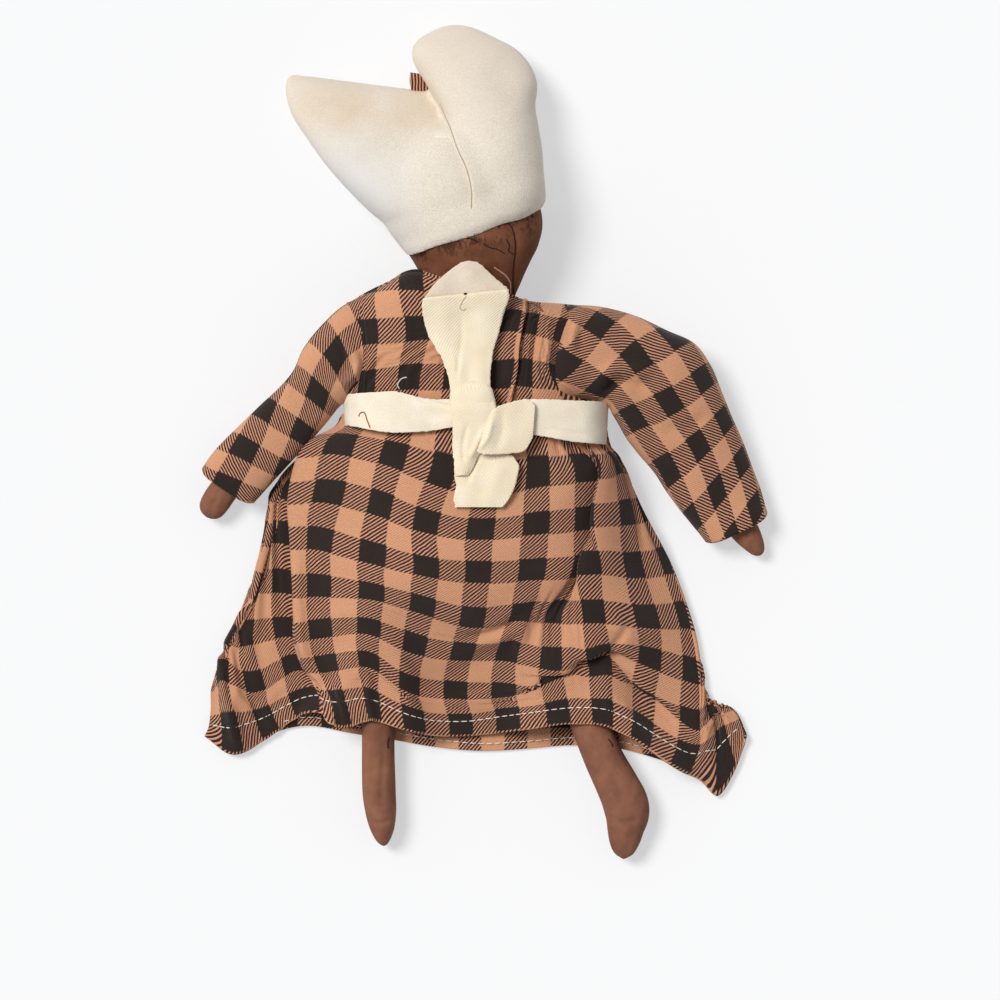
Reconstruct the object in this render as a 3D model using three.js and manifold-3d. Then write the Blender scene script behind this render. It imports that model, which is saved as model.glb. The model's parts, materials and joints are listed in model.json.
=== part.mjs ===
// A cloth rag doll, lying face down: a stuffed muslin body in a checked flannel dress, with a cotton
// apron tied behind in a half bow and a felt headwrap with two soft lobes.
// Millimetres. +Z is up from the surface that the doll lies on and +Y runs from its waist to its head,
// so -X is the doll's own left. The origin is on that surface, under the middle of the waist.

import * as THREE from 'three';
import { mergeVertices } from 'three/addons/utils/BufferGeometryUtils.js';
import Module from 'manifold-3d';

const wasm = await Module();
wasm.setup();

// Cloth thicknesses, and the room between one layer and the next
const SKIN = 0.8;
const FLANNEL = 1.2;
const COTTON = 1.0;
const FELT = 1.8;
const SEAM_GAP = 0.35;

// Torso, measured up and down from the waist
const TORSO_UP = 50;
const TORSO_DOWN = 70;
const SHOULDER_WIDTH = 78;
const WAIST_WIDTH = 84;
const HIP_WIDTH = 90;
const TORSO_DEPTH = 38;

// Head, along the tilted axis that starts at the neck joint
const NECK_WIDTH = 40;
const NECK_SHIFT = 5;
const HEAD_TILT = 18;
const HEAD_LENGTH = 62;
const HEAD_WIDTH = 66;
const HEAD_DEPTH = 50;

// Arms: how far each one reaches from its shoulder joint as it lies, which way, and how it bows outwards
const ARM_WIDTH = 14;
const HAND_WIDTH = 14;
const HAND_REST = 7.5;
const LEFT_SHOULDER_Y = 34;
const LEFT_ARM_ANGLE = 225.5;
const LEFT_ARM_REACH = 106;
const LEFT_UPPER_BOW = 5.5;
const LEFT_LOWER_BOW = 2.5;
const RIGHT_SHOULDER_Y = 30;
const RIGHT_ARM_ANGLE = -48.5;
const RIGHT_ARM_REACH = 121;
const RIGHT_UPPER_BOW = 16;
const RIGHT_LOWER_BOW = 11.5;

// Legs, measured from the hip joint, with the turn that points each heel
const LEFT_LEG_LENGTH = 118;
const RIGHT_LEG_LENGTH = 124;
const LEG_WIDTH = 16;
const FOOT_LENGTH = 27;
const HEEL_DEPTH = 20;
const TOE_WIDTH = 8;
const FOOT_REST = 0.4;
const LEFT_HIP_X = -36;
const LEFT_LEG_ANGLE = -91.5;
const LEFT_FOOT_TURN = 12;
const RIGHT_HIP_X = 26;
const RIGHT_LEG_ANGLE = -67.5;
const RIGHT_FOOT_TURN = 78;

// Dress
const BODICE_WIDTH = 108;
const CHEST_EASE = 6;
const SLEEVE_TOP_HEIGHT = 34;
const CUFF_HEIGHT = 17;
const ARMHOLE_HEIGHT = 24;
const ARMHOLE_SETBACK = 1.5;
const ARMPIT_ROOM = 13;
const LEFT_SLEEVE_LENGTH = 94;
const LEFT_SLEEVE_TOP = 32;
const LEFT_SLEEVE_UPPER = 28.5;
const LEFT_SLEEVE_ELBOW = 26;
const LEFT_SLEEVE_LOWER = 28.5;
const LEFT_CUFF_WIDTH = 27;
const LEFT_ARMHOLE_FACING = 18;
const RIGHT_SLEEVE_LENGTH = 105;
const RIGHT_SLEEVE_TOP = 42;
const RIGHT_SLEEVE_UPPER = 42;
const RIGHT_SLEEVE_ELBOW = 48;
const RIGHT_SLEEVE_LOWER = 40;
const RIGHT_CUFF_WIDTH = 30.5;
const RIGHT_ARMHOLE_FACING = 168;
const SKIRT_LENGTH = 140;
const HEM_WIDTH = 238;
const HEM_CROWN = 29.5;
const FRONT_HEM_DROP = 7;
const HEM_SIDE = 4.5;
const LEFT_CORNER_DROP = 12;
const RIGHT_CORNER_DROP = 27;
const SKIRT_SWAY = 5;
const FOLD_DEPTH = 3;
const FOLD_COUNT = 7;

// Apron and its ties
const APRON_WIDTH = 112;
const APRON_LENGTH = 118;
const APRON_CORNER = 10;
const WAISTBAND_WIDTH = 46;
const TIE_WIDTH = 17;
const KNOT_WIDTH = 20;
const KNOT_HEIGHT = 8;
const LOOP_LENGTH = 50;
const LOOP_END_WIDTH = 38;
const SIDE_TAIL_LENGTH = 18;
const SIDE_TAIL_WIDTH = 20;
const DOWN_TAIL_LENGTH = 29;
const DOWN_TAIL_WIDTH = 27;

// Headwrap, in the head's own frame
const WRAP_EDGE = 14;
const WRAP_SEAM_X = 1;
const LOBE_START = 18;
const LEFT_LOBE_REACH = 56;
const LEFT_LOBE_RISE = 105;
const LEFT_LOBE_WIDTH = 52;
const RIGHT_LOBE_REACH = 18;
const RIGHT_LOBE_RISE = 106;
const RIGHT_LOBE_WIDTH = 50;
const LOBE_DEPTH = 30;
const LOBE_TIP_DEPTH = 9;
const TAB_WIDTH = 9;
const TAB_LENGTH = 22;
const TAB_SHOWN = 8;

// Heights of the layers under the doll
const dressBed = COTTON + SEAM_GAP;
const torsoBed = dressBed + FLANNEL + SEAM_GAP;
const torsoMid = torsoBed + TORSO_DEPTH / 2;
const headMid = FELT + 2 * SEAM_GAP + HEAD_DEPTH / 2;
const tieHalf = TIE_WIDTH / 2;
const neckRadius = NECK_WIDTH / 2;
const armRadius = ARM_WIDTH / 2;
const legRadius = LEG_WIDTH / 2;

// Numbers of sides and steps
const BODY_SIDES = 16;
const LIMB_SIDES = 10;
const STUFFING_SIDES = 8;
const TORSO_STEPS = 20;
const SLEEVE_SIDES = 14;

// Materials
const cloth = (color, roughness) => new THREE.MeshStandardMaterial({ color, roughness, metalness: 0 });
const muslin = cloth(0x84583f, 0.85);
const fibre = cloth(0xe9e4da, 1);
const flannel = cloth(0x9a6f55, 0.95);
const cotton = cloth(0xf1e4c8, 0.9);
const felt = cloth(0xe4d9c6, 1);

// Small tools

const { lerp, degToRad, smoothstep } = THREE.MathUtils;

function vector(x, y, z) {
  return new THREE.Vector3(x, y, z);
}

// A value that runs smoothly through [position, value] pairs
function along(pairs, position) {
  const last = pairs.length - 1;
  if (position <= pairs[0][0]) return pairs[0][1];
  for (let i = 0; i < last; i++) {
    const [from, a] = pairs[i];
    const [to, b] = pairs[i + 1];
    if (position <= to) return lerp(a, b, smoothstep(position, from, to));
  }
  return pairs[last][1];
}

// The half chord of a rounded outline, from 1 in its middle to 0 at its ends
function rounded(share, squareness) {
  return Math.pow(Math.max(0, 1 - Math.pow(Math.abs(share), squareness)), 1 / squareness);
}

// A closed body from points and triangles, with its faces pointing out
function body(points, faces) {
  let volume = 0;
  for (let i = 0; i < faces.length; i += 3) {
    const [a, b, c] = [points[faces[i]], points[faces[i + 1]], points[faces[i + 2]]];
    volume += a.dot(b.clone().cross(c));
  }
  const outward = volume < 0 ? [...faces].reverse() : faces;
  return new THREE.BufferGeometry().setFromPoints(points).setIndex(outward);
}

// Rings of equal count joined in order, with a flat end on the first and the last
function loft(rings) {
  const sides = rings[0].length;
  const points = rings.flat();
  const faces = [];
  for (let r = 0; r + 1 < rings.length; r++) {
    for (let s = 0; s < sides; s++) {
      const a = r * sides + s;
      const b = r * sides + ((s + 1) % sides);
      faces.push(a, b, a + sides, b, b + sides, a + sides);
    }
  }
  const capEnd = (ring, start, turned) => {
    const middle = ring.reduce((sum, p) => sum.add(p), vector(0, 0, 0)).divideScalar(sides);
    points.push(middle);
    for (let s = 0; s < sides; s++) {
      const pair = [start + s, start + ((s + 1) % sides)];
      faces.push(points.length - 1, ...(turned ? pair.reverse() : pair));
    }
  };
  capEnd(rings[0], 0, true);
  capEnd(rings[rings.length - 1], (rings.length - 1) * sides, false);
  return body(points, faces);
}

// A shell with one mouth: the outer rings run from its closed tip to the mouth, and the inner ones back
function sock(outer, inner) {
  return loft([...outer, ...[...inner].reverse()]);
}

// A sheet of cloth between two grids of points, row by row
function sheet(outer, inner) {
  const rows = outer.length;
  const columns = outer[0].length;
  const under = rows * columns;
  const faces = [];
  const quad = (a, b, c, d) => faces.push(a, b, c, a, c, d);
  for (let r = 0; r + 1 < rows; r++) {
    for (let c = 0; c + 1 < columns; c++) {
      const a = r * columns + c;
      quad(a, a + 1, a + columns + 1, a + columns);
      quad(under + a, under + a + columns, under + a + columns + 1, under + a + 1);
    }
  }
  const edge = [];
  for (let c = 0; c + 1 < columns; c++) edge.push(c);
  for (let r = 0; r + 1 < rows; r++) edge.push((r + 1) * columns - 1);
  for (let c = columns - 1; c > 0; c--) edge.push((rows - 1) * columns + c);
  for (let r = rows - 1; r > 0; r--) edge.push(r * columns);
  edge.forEach((a, i) => {
    const b = edge[(i + 1) % edge.length];
    quad(b, a, under + a, under + b);
  });
  return body([...outer.flat(), ...inner.flat()], faces);
}

// A grid of points from a function of two shares, each from 0 to 1
function grid(rows, columns, point) {
  return Array.from({ length: rows + 1 }, (_, r) =>
    Array.from({ length: columns + 1 }, (_, c) => point(c / columns, r / rows)));
}

function solidOf(geometry) {
  const bare = geometry.clone();
  bare.deleteAttribute('normal');
  bare.deleteAttribute('uv');
  const merged = mergeVertices(bare, 1e-4);
  return new wasm.Manifold(new wasm.Mesh({
    numProp: 3,
    vertProperties: new Float32Array(merged.attributes.position.array),
    triVerts: new Uint32Array(merged.index.array),
  }));
}

function geometryOf(solid) {
  const made = solid.getMesh();
  const position = new THREE.BufferAttribute(new Float32Array(made.vertProperties), 3);
  return new THREE.BufferGeometry()
    .setAttribute('position', position)
    .setIndex(new THREE.BufferAttribute(new Uint32Array(made.triVerts), 1));
}

function cut(geometry, ...tools) {
  return geometryOf(tools.reduce((left, tool) => left.subtract(solidOf(tool)), solidOf(geometry)));
}

// An upright cylinder, tall enough to cut through the whole doll
function uprightCutter(place, radius) {
  const height = 4 * (TORSO_DEPTH + HEAD_DEPTH);
  return new THREE.CylinderGeometry(radius, radius, height, 40).rotateX(Math.PI / 2)
    .translate(place.x, place.y, 0);
}

// A flat outline given a thickness and laid at a height
function plate(shape, thickness, height) {
  return new THREE.ExtrudeGeometry(shape, { depth: thickness, bevelEnabled: false, curveSegments: 6 })
    .translate(0, 0, height);
}

// An oval ring whose plane stands across a spine: along is the spine's direction in plan
function ovalRing(centre, angle, halfWidth, halfHeight, sides, turn = 0) {
  const across = vector(-Math.sin(angle), Math.cos(angle), 0);
  const up = vector(0, 0, 1);
  const wide = across.clone().multiplyScalar(Math.cos(turn)).addScaledVector(up, -Math.sin(turn));
  const high = up.clone().multiplyScalar(Math.cos(turn)).addScaledVector(across, Math.sin(turn));
  return Array.from({ length: sides }, (_, i) => {
    const a = (2 * Math.PI * i) / sides + turn;
    return centre.clone()
      .addScaledVector(wide, halfWidth * Math.cos(a))
      .addScaledVector(high, halfHeight * Math.sin(a));
  });
}

const doll = new THREE.Group();

function piece(parent, name, geometry, material) {
  const mesh = new THREE.Mesh(geometry, material);
  mesh.name = name;
  parent.add(mesh);
}

// A group whose own origin is a joint, turned about the upright axis
function jointGroup(name, place, degrees) {
  const group = new THREE.Group();
  group.name = name;
  group.position.copy(place);
  group.rotation.z = degToRad(degrees);
  doll.add(group);
  return group;
}

// Torso: a pillow with a sharp sewn edge, open in a slit between the shoulders where it is stuffed

const TORSO_SQUARENESS = 5;
const TORSO_EDGE = 1.6;
const SLIT_SHARE = 0.993;
const torsoHalfLength = (TORSO_UP + TORSO_DOWN) / 2;
const torsoMiddleY = (TORSO_UP - TORSO_DOWN) / 2;
const torsoShare = (y) => (y - torsoMiddleY) / torsoHalfLength;

function torsoHalfWidth(y) {
  const chest = smoothstep(y, 0, 0.6 * TORSO_UP);
  const hips = smoothstep(-y, 0, 0.7 * TORSO_DOWN);
  const width = WAIST_WIDTH + (SHOULDER_WIDTH - WAIST_WIDTH) * chest + (HIP_WIDTH - WAIST_WIDTH) * hips;
  return (width / 2) * rounded(torsoShare(y), TORSO_SQUARENESS);
}

function torsoHalfDepth(y) {
  return (TORSO_DEPTH / 2) * rounded(torsoShare(y), 2.6);
}

function torsoRings(sides, steps, inset) {
  const reach = torsoHalfLength - inset;
  return Array.from({ length: steps + 1 }, (_, i) => {
    const share = -SLIT_SHARE * Math.cos((Math.PI * i) / steps);
    const fullY = torsoMiddleY + share * torsoHalfLength;
    const halfWidth = Math.max(torsoHalfWidth(fullY) - inset, 0.4);
    const halfDepth = Math.max(torsoHalfDepth(fullY) - inset, 0.4);
    return Array.from({ length: sides }, (_, s) => {
      const a = (2 * Math.PI * s) / sides;
      const [c, d] = [Math.cos(a), Math.sin(a)];
      return vector(
        halfWidth * Math.sign(c) * Math.pow(Math.abs(c), 2 / TORSO_EDGE),
        torsoMiddleY + share * reach,
        torsoMid + halfDepth * Math.sign(d) * Math.pow(Math.abs(d), 2 / TORSO_EDGE),
      );
    });
  });
}

// Only the closed lower end of the inner wall moves up: at the slit it meets the outer wall
function torsoCover() {
  const outer = torsoRings(BODY_SIDES, TORSO_STEPS, 0);
  const inner = torsoRings(BODY_SIDES, TORSO_STEPS, SKIN);
  const slitY = outer[outer.length - 1][0].y;
  inner[inner.length - 1].forEach((p) => p.setY(slitY));
  return sock(outer, inner);
}

piece(doll, 'torso_cover', torsoCover(), muslin);
piece(doll, 'torso_stuffing', loft(torsoRings(STUFFING_SIDES, TORSO_STEPS, SKIN + 2 * SEAM_GAP)), fibre);

// A joint that seats a round limb end on the torso's edge, a seam gap away
function seatOnSide(y, side, radius) {
  const step = 0.5;
  const x = torsoHalfWidth(y);
  const slope = (torsoHalfWidth(y + step) - torsoHalfWidth(y - step)) / (2 * step);
  const out = new THREE.Vector2(1, -slope).normalize().multiplyScalar(radius + SEAM_GAP);
  return vector(side * (x + out.x), y + out.y, torsoMid);
}

// The torso's lower edge at a distance from its middle, found by halving
function torsoLowerEdge(x) {
  let [inside, outside] = [torsoMiddleY, -TORSO_DOWN];
  for (let i = 0; i < 40; i++) {
    const y = (inside + outside) / 2;
    if (torsoHalfWidth(y) > Math.abs(x)) inside = y;
    else outside = y;
  }
  return outside;
}

function seatBelow(x, radius) {
  const step = 0.5;
  const slope = (torsoLowerEdge(x + step) - torsoLowerEdge(x - step)) / (2 * step);
  const out = new THREE.Vector2(slope, -1).normalize().multiplyScalar(radius + SEAM_GAP);
  return vector(x + out.x, torsoLowerEdge(x) + out.y, torsoMid);
}

const leftShoulder = seatOnSide(LEFT_SHOULDER_Y, -1, armRadius);
const rightShoulder = seatOnSide(RIGHT_SHOULDER_Y, 1, armRadius);
const leftHip = seatBelow(LEFT_HIP_X, legRadius);
const rightHip = seatBelow(RIGHT_HIP_X, legRadius);
const neck = vector(NECK_SHIFT, TORSO_UP + SEAM_GAP + neckRadius, torsoMid);

// Limbs: each lies along its own +X from a round gathered end about the joint to a closed tip

const GATHER_ANGLES = [16, 50];

// Profile rows are [distance from the joint, sideways shift, half width, half height, height, heel shift]
function limbRings(radius, rows, inset, turn) {
  const gathered = GATHER_ANGLES.map((degrees) => {
    const a = degToRad(degrees);
    const r = (radius - inset) * Math.sin(a);
    return ovalRing(vector(-(radius - inset) * Math.cos(a), 0, 0), 0, r, r, LIMB_SIDES);
  });
  const shaft = rows.map(([distance, shift, halfWidth, halfHeight, height, heel], i) => {
    const end = i === rows.length - 1 ? inset : 0;
    const turned = degToRad(turn) * smoothstep(i, 0, rows.length - 4);
    const middle = vector(distance - end, shift + heel * Math.sin(turned), height + heel * Math.cos(turned));
    const slim = (half) => Math.max(half - inset, 0.3);
    return ovalRing(middle, 0, slim(halfWidth), slim(halfHeight), LIMB_SIDES, turned);
  });
  return [...gathered, ...shaft].reverse();
}

function addLimb(group, name, radius, rows, turn) {
  const outer = limbRings(radius, rows, 0, turn);
  const inner = limbRings(radius, rows, SKIN, turn);
  const filled = limbRings(radius, rows, SKIN + 2 * SEAM_GAP, turn);
  piece(group, name + '_cover', sock(outer, inner), muslin);
  piece(group, name + '_stuffing', loft(filled), fibre);
}

const leftSide = {
  outward: -1,
  reach: LEFT_ARM_REACH,
  bows: [LEFT_UPPER_BOW, LEFT_LOWER_BOW],
  facing: LEFT_ARMHOLE_FACING - LEFT_ARM_ANGLE,
  length: LEFT_SLEEVE_LENGTH,
  widths: [LEFT_SLEEVE_TOP, LEFT_SLEEVE_UPPER, LEFT_SLEEVE_ELBOW, LEFT_SLEEVE_LOWER, LEFT_CUFF_WIDTH],
};
const rightSide = {
  outward: 1,
  reach: RIGHT_ARM_REACH,
  bows: [RIGHT_UPPER_BOW, RIGHT_LOWER_BOW],
  facing: RIGHT_ARMHOLE_FACING - RIGHT_ARM_ANGLE,
  length: RIGHT_SLEEVE_LENGTH,
  widths: [RIGHT_SLEEVE_TOP, RIGHT_SLEEVE_UPPER, RIGHT_SLEEVE_ELBOW, RIGHT_SLEEVE_LOWER, RIGHT_CUFF_WIDTH],
};

// The arm slopes from the shoulder to a hand that lies on the floor, palm down, and bows on its way
function armHeight(side, distance) {
  return lerp(0, HAND_REST - torsoMid, Math.min(1, distance / (side.reach - HAND_WIDTH)));
}

function armShift(side, distance) {
  const [upper, lower] = side.bows;
  const share = distance / side.reach;
  return side.outward * along([[0, 0], [0.2, upper], [0.54, lower], [0.9, 0]], share);
}

function armRows(side) {
  const wristAt = side.reach - 2 * HAND_WIDTH;
  const shaft = [0, 0.14, 0.28, 0.42, 0.56, 0.7, 0.85, 1].map((share) => {
    const half = lerp(armRadius, 0.42 * HAND_WIDTH, smoothstep(share, 0.4, 1));
    return [share * wristAt, half, half];
  });
  const hand = [
    [wristAt + HAND_WIDTH, HAND_WIDTH / 2, 0.42 * HAND_WIDTH],
    [side.reach - 0.35 * HAND_WIDTH, 0.42 * HAND_WIDTH, 0.34 * HAND_WIDTH],
    [side.reach, 0.16 * HAND_WIDTH, 0.14 * HAND_WIDTH],
  ];
  return [...shaft, ...hand].map(([distance, wide, high]) =>
    [distance, armShift(side, distance), wide, high, armHeight(side, distance), 0]);
}

const leftArm = jointGroup('left_arm', leftShoulder, LEFT_ARM_ANGLE);
const rightArm = jointGroup('right_arm', rightShoulder, RIGHT_ARM_ANGLE);
addLimb(leftArm, 'left_arm', armRadius, armRows(leftSide), 0);
addLimb(rightArm, 'right_arm', armRadius, armRows(rightSide), 0);

// The leg slopes down from the hip, clears the front of the skirt and ends in a pointed foot with a heel
function legRows(length) {
  const footAt = length - FOOT_LENGTH;
  const heightAt = (distance) => along([
    [0, 0],
    [footAt, torsoBed + SEAM_GAP + legRadius - torsoMid],
    [length, FOOT_REST + HEEL_DEPTH / 2 - torsoMid],
  ], distance);
  return [
    [0, legRadius, legRadius, 0],
    [0.3 * footAt, legRadius, legRadius, 0],
    [0.65 * footAt, legRadius, legRadius, 0],
    [footAt, 0.88 * legRadius, 0.92 * legRadius, 0],
    [footAt + 0.42 * FOOT_LENGTH, 0.85 * legRadius, HEEL_DEPTH / 2, 0.08 * HEEL_DEPTH],
    [footAt + 0.72 * FOOT_LENGTH, 0.72 * legRadius, 0.34 * HEEL_DEPTH, -0.12 * HEEL_DEPTH],
    [length - 0.08 * FOOT_LENGTH, TOE_WIDTH / 2, 0.18 * HEEL_DEPTH, -0.32 * HEEL_DEPTH],
    [length, 0.4 * TOE_WIDTH / 2, 0.07 * HEEL_DEPTH, -0.4 * HEEL_DEPTH],
  ].map(([distance, wide, high, heel]) => [distance, 0, wide, high, heightAt(distance), heel]);
}

const leftLeg = jointGroup('left_leg', leftHip, LEFT_LEG_ANGLE);
const rightLeg = jointGroup('right_leg', rightHip, RIGHT_LEG_ANGLE);
addLimb(leftLeg, 'left_leg', legRadius, legRows(LEFT_LEG_LENGTH), LEFT_FOOT_TURN);
addLimb(rightLeg, 'right_leg', legRadius, legRows(RIGHT_LEG_LENGTH), RIGHT_FOOT_TURN);

// Head: an egg that narrows to a round gathered neck, along its own +Y

const head = jointGroup('head', neck, HEAD_TILT);
const headRise = headMid - torsoMid;
const headHeight = (distance) => headRise * smoothstep(distance, -neckRadius, 0.2 * HEAD_LENGTH);

function headHalf(distance, neckHalf, fullHalf) {
  const swell = along([[-0.2 * HEAD_LENGTH, 0], [0.25 * HEAD_LENGTH, 1]], distance);
  const crown = rounded(Math.max(0, (distance / HEAD_LENGTH - 0.5) / 0.5), 2.3);
  return lerp(neckHalf, fullHalf, swell) * crown;
}

const HEAD_SHARES = [0, 0.07, 0.15, 0.25, 0.36, 0.5, 0.65, 0.78, 0.89, 0.96, 0.995];

function headRing(distance, inset, sides) {
  const halfWidth = Math.max(headHalf(distance, neckRadius, HEAD_WIDTH / 2) - inset, 0.4);
  const halfDepth = Math.max(headHalf(distance, neckRadius, HEAD_DEPTH / 2) - inset, 0.4);
  const reach = distance * (1 - inset / HEAD_LENGTH);
  return ovalRing(vector(0, reach, headHeight(distance)), Math.PI / 2, halfWidth, halfDepth, sides);
}

function headRings(inset, sides) {
  const gathered = [[18, 1, 1], [45, 1.02, 1], [68, 1.12, 1.04]].map(([degrees, wide, deep]) => {
    const a = degToRad(degrees);
    const r = (neckRadius - inset) * Math.sin(a);
    const distance = -(neckRadius - inset) * Math.cos(a);
    return ovalRing(vector(0, distance, headHeight(distance)), Math.PI / 2, wide * r, deep * r, sides);
  });
  return [...gathered, ...HEAD_SHARES.map((share) => headRing(share * HEAD_LENGTH, inset, sides))].reverse();
}

piece(head, 'head_cover', sock(headRings(0, BODY_SIDES), headRings(SKIN, BODY_SIDES)), muslin);
piece(head, 'head_stuffing', loft(headRings(SKIN + 2 * SEAM_GAP, STUFFING_SIDES)), fibre);

// Headwrap: a felt cap over the crown of the head, drawn out into two lobes and sewn down the back

const wrapOffset = SEAM_GAP + FELT;
const wrapBottom = SEAM_GAP - torsoMid;

function lobe(reach, width, rise, side, grow) {
  const start = vector(side * 0.22 * HEAD_WIDTH, LOBE_START, headRise);
  const bend = vector(side * 0.3 * HEAD_WIDTH, lerp(LOBE_START, rise, 0.54), 0.2 * headRise);
  const tip = vector(side * reach, rise, wrapBottom + LOBE_TIP_DEPTH);
  const spine = new THREE.QuadraticBezierCurve3(start, bend, tip);
  const widths = [[0, 0.62], [0.35, 0.86], [0.62, 1], [0.82, 0.84], [0.94, 0.5], [1, 0.16]];
  const steps = 9;
  return loft(Array.from({ length: steps + 1 }, (_, i) => {
    const share = Math.sin((Math.PI / 2) * (i / steps));
    const centre = spine.getPoint(share);
    const direction = spine.getTangent(share);
    const halfDepth = lerp(LOBE_DEPTH, LOBE_TIP_DEPTH, share) / 2 * rounded(share * 0.985, 3.5) + grow;
    centre.z = Math.max(centre.z, wrapBottom + halfDepth);
    const angle = Math.atan2(direction.y, direction.x);
    return ovalRing(centre, angle, (width / 2) * along(widths, share) + grow, halfDepth, BODY_SIDES);
  }));
}

function crown() {
  const shares = [0, 0.12, 0.3, 0.5, 0.68, 0.82, 0.93, 1];
  return loft(shares.map((share) => {
    const distance = lerp(WRAP_EDGE, HEAD_LENGTH * 0.985, share);
    const ring = headRing(distance, -wrapOffset, BODY_SIDES);
    ring.forEach((p) => p.setY(distance + wrapOffset * smoothstep(share, 0.5, 1)));
    return ring;
  }));
}

const leftLobe = (grow) => lobe(LEFT_LOBE_REACH, LEFT_LOBE_WIDTH, LEFT_LOBE_RISE, -1, grow);
const rightLobe = (grow) => lobe(RIGHT_LOBE_REACH, RIGHT_LOBE_WIDTH, RIGHT_LOBE_RISE, 1, grow);

// Everything to one side of the back seam, as a box that cuts the other half away
function besideSeam(side) {
  const size = 4 * LEFT_LOBE_RISE;
  const x = WRAP_SEAM_X + side * (size / 2 - SEAM_GAP / 2);
  return new THREE.BoxGeometry(size, size, size).translate(x, 0, 0);
}

function headwrapHalves() {
  const below = new THREE.BoxGeometry(4 * HEAD_WIDTH, 4 * HEAD_WIDTH, 4 * HEAD_WIDTH)
    .translate(0, WRAP_EDGE - 2 * HEAD_WIDTH, 0);
  const cavity = loft(headRings(-SEAM_GAP, BODY_SIDES));
  const whole = solidOf(crown()).add(solidOf(leftLobe(0))).add(solidOf(rightLobe(0)))
    .subtract(solidOf(cavity)).subtract(solidOf(below));
  return [1, -1].map((side) => geometryOf(whole.subtract(solidOf(besideSeam(side)))));
}

const [wrapLeft, wrapRight] = headwrapHalves();
piece(head, 'headwrap_left', wrapLeft, felt);
piece(head, 'headwrap_right', wrapRight, felt);

// A scrap of the dress's cloth, folded and sewn between the lobes, whose end shows in the notch
function notchTab() {
  const notch = lerp(LOBE_START, LEFT_LOBE_RISE, 0.72);
  const outline = new THREE.Shape();
  outline.moveTo(WRAP_SEAM_X - TAB_WIDTH, notch + TAB_SHOWN - TAB_LENGTH);
  outline.lineTo(WRAP_SEAM_X, notch + TAB_SHOWN - TAB_LENGTH);
  outline.lineTo(WRAP_SEAM_X, notch + TAB_SHOWN);
  outline.lineTo(WRAP_SEAM_X - TAB_WIDTH, notch + TAB_SHOWN);
  outline.closePath();
  const strip = plate(outline, 2 * FLANNEL, wrapBottom + LOBE_TIP_DEPTH);
  const trimmed = solidOf(cut(strip, leftLobe(SEAM_GAP), rightLobe(SEAM_GAP), crown()));
  return geometryOf(trimmed.decompose().sort((a, b) => b.volume() - a.volume())[0]);
}

piece(head, 'headwrap_tab', notchTab(), flannel);

// Dress: a tube about the torso, whose front lies on the apron and whose skirt flattens towards the hem

const bodiceHalf = BODICE_WIDTH / 2;
const waistDepth = torsoHalfDepth(0) + SEAM_GAP / 2 + FLANNEL;
const crownTop = torsoMid + SEAM_GAP / 2 + waistDepth;

// A place a little way down the sleeve, where the bodice is cut away under the arm
function armpit(shoulder, degrees) {
  const a = degToRad(degrees);
  return shoulder.clone().addScaledVector(vector(Math.cos(a), Math.sin(a), 0), 1.1 * ARMPIT_ROOM);
}

// One half of the bodice: facing is 1 for the back and -1 for the front. It folds over the torso's top edge
function bodicePanel(facing) {
  const reach = SLIT_SHARE * torsoHalfLength;
  const levels = Array.from({ length: 9 }, (_, i) => Math.sin((Math.PI / 2) * (i / 8)))
    .map((share) => share * (torsoMiddleY + reach));
  const surface = (inset) => {
    const offset = SEAM_GAP + FLANNEL - inset;
    const row = (y, depth) => Array.from({ length: 19 }, (_, i) => {
      const a = Math.PI * (1 - i / 18);
      const half = lerp(bodiceHalf, SHOULDER_WIDTH / 2 + CHEST_EASE, smoothstep(y, tieHalf, 0.7 * TORSO_UP));
      const z = torsoMid + facing * (SEAM_GAP / 2 + depth * Math.sin(a));
      return vector((half - inset) * Math.cos(a), y + offset * (y / TORSO_UP), z);
    });
    const last = levels[levels.length - 1];
    return [...levels.map((y) => row(y, torsoHalfDepth(y) + offset - SEAM_GAP / 2)), row(last, 0)];
  };
  return cut(
    sheet(surface(0), surface(FLANNEL)),
    uprightCutter(leftShoulder, LEFT_SLEEVE_TOP / 2 + SEAM_GAP),
    uprightCutter(armpit(leftShoulder, LEFT_ARM_ANGLE), ARMPIT_ROOM),
    uprightCutter(rightShoulder, RIGHT_SLEEVE_TOP / 2 + SEAM_GAP),
    uprightCutter(armpit(rightShoulder, RIGHT_ARM_ANGLE), ARMPIT_ROOM),
    uprightCutter(neck, neckRadius + SEAM_GAP),
  );
}

piece(doll, 'bodice_back', bodicePanel(1), flannel);
piece(doll, 'bodice_front', bodicePanel(-1), flannel);

// The skirt's place across u, from its left edge to its right one, and down v, from waist to hem
const gatherShare = tieHalf / SKIRT_LENGTH;

function skirtHalfWidth(v) {
  const flare = 0.22 * smoothstep(v, gatherShare, gatherShare + 0.16) + 0.78 * Math.max(0, v - gatherShare);
  return bodiceHalf + (HEM_WIDTH / 2 - bodiceHalf) * flare;
}

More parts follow.
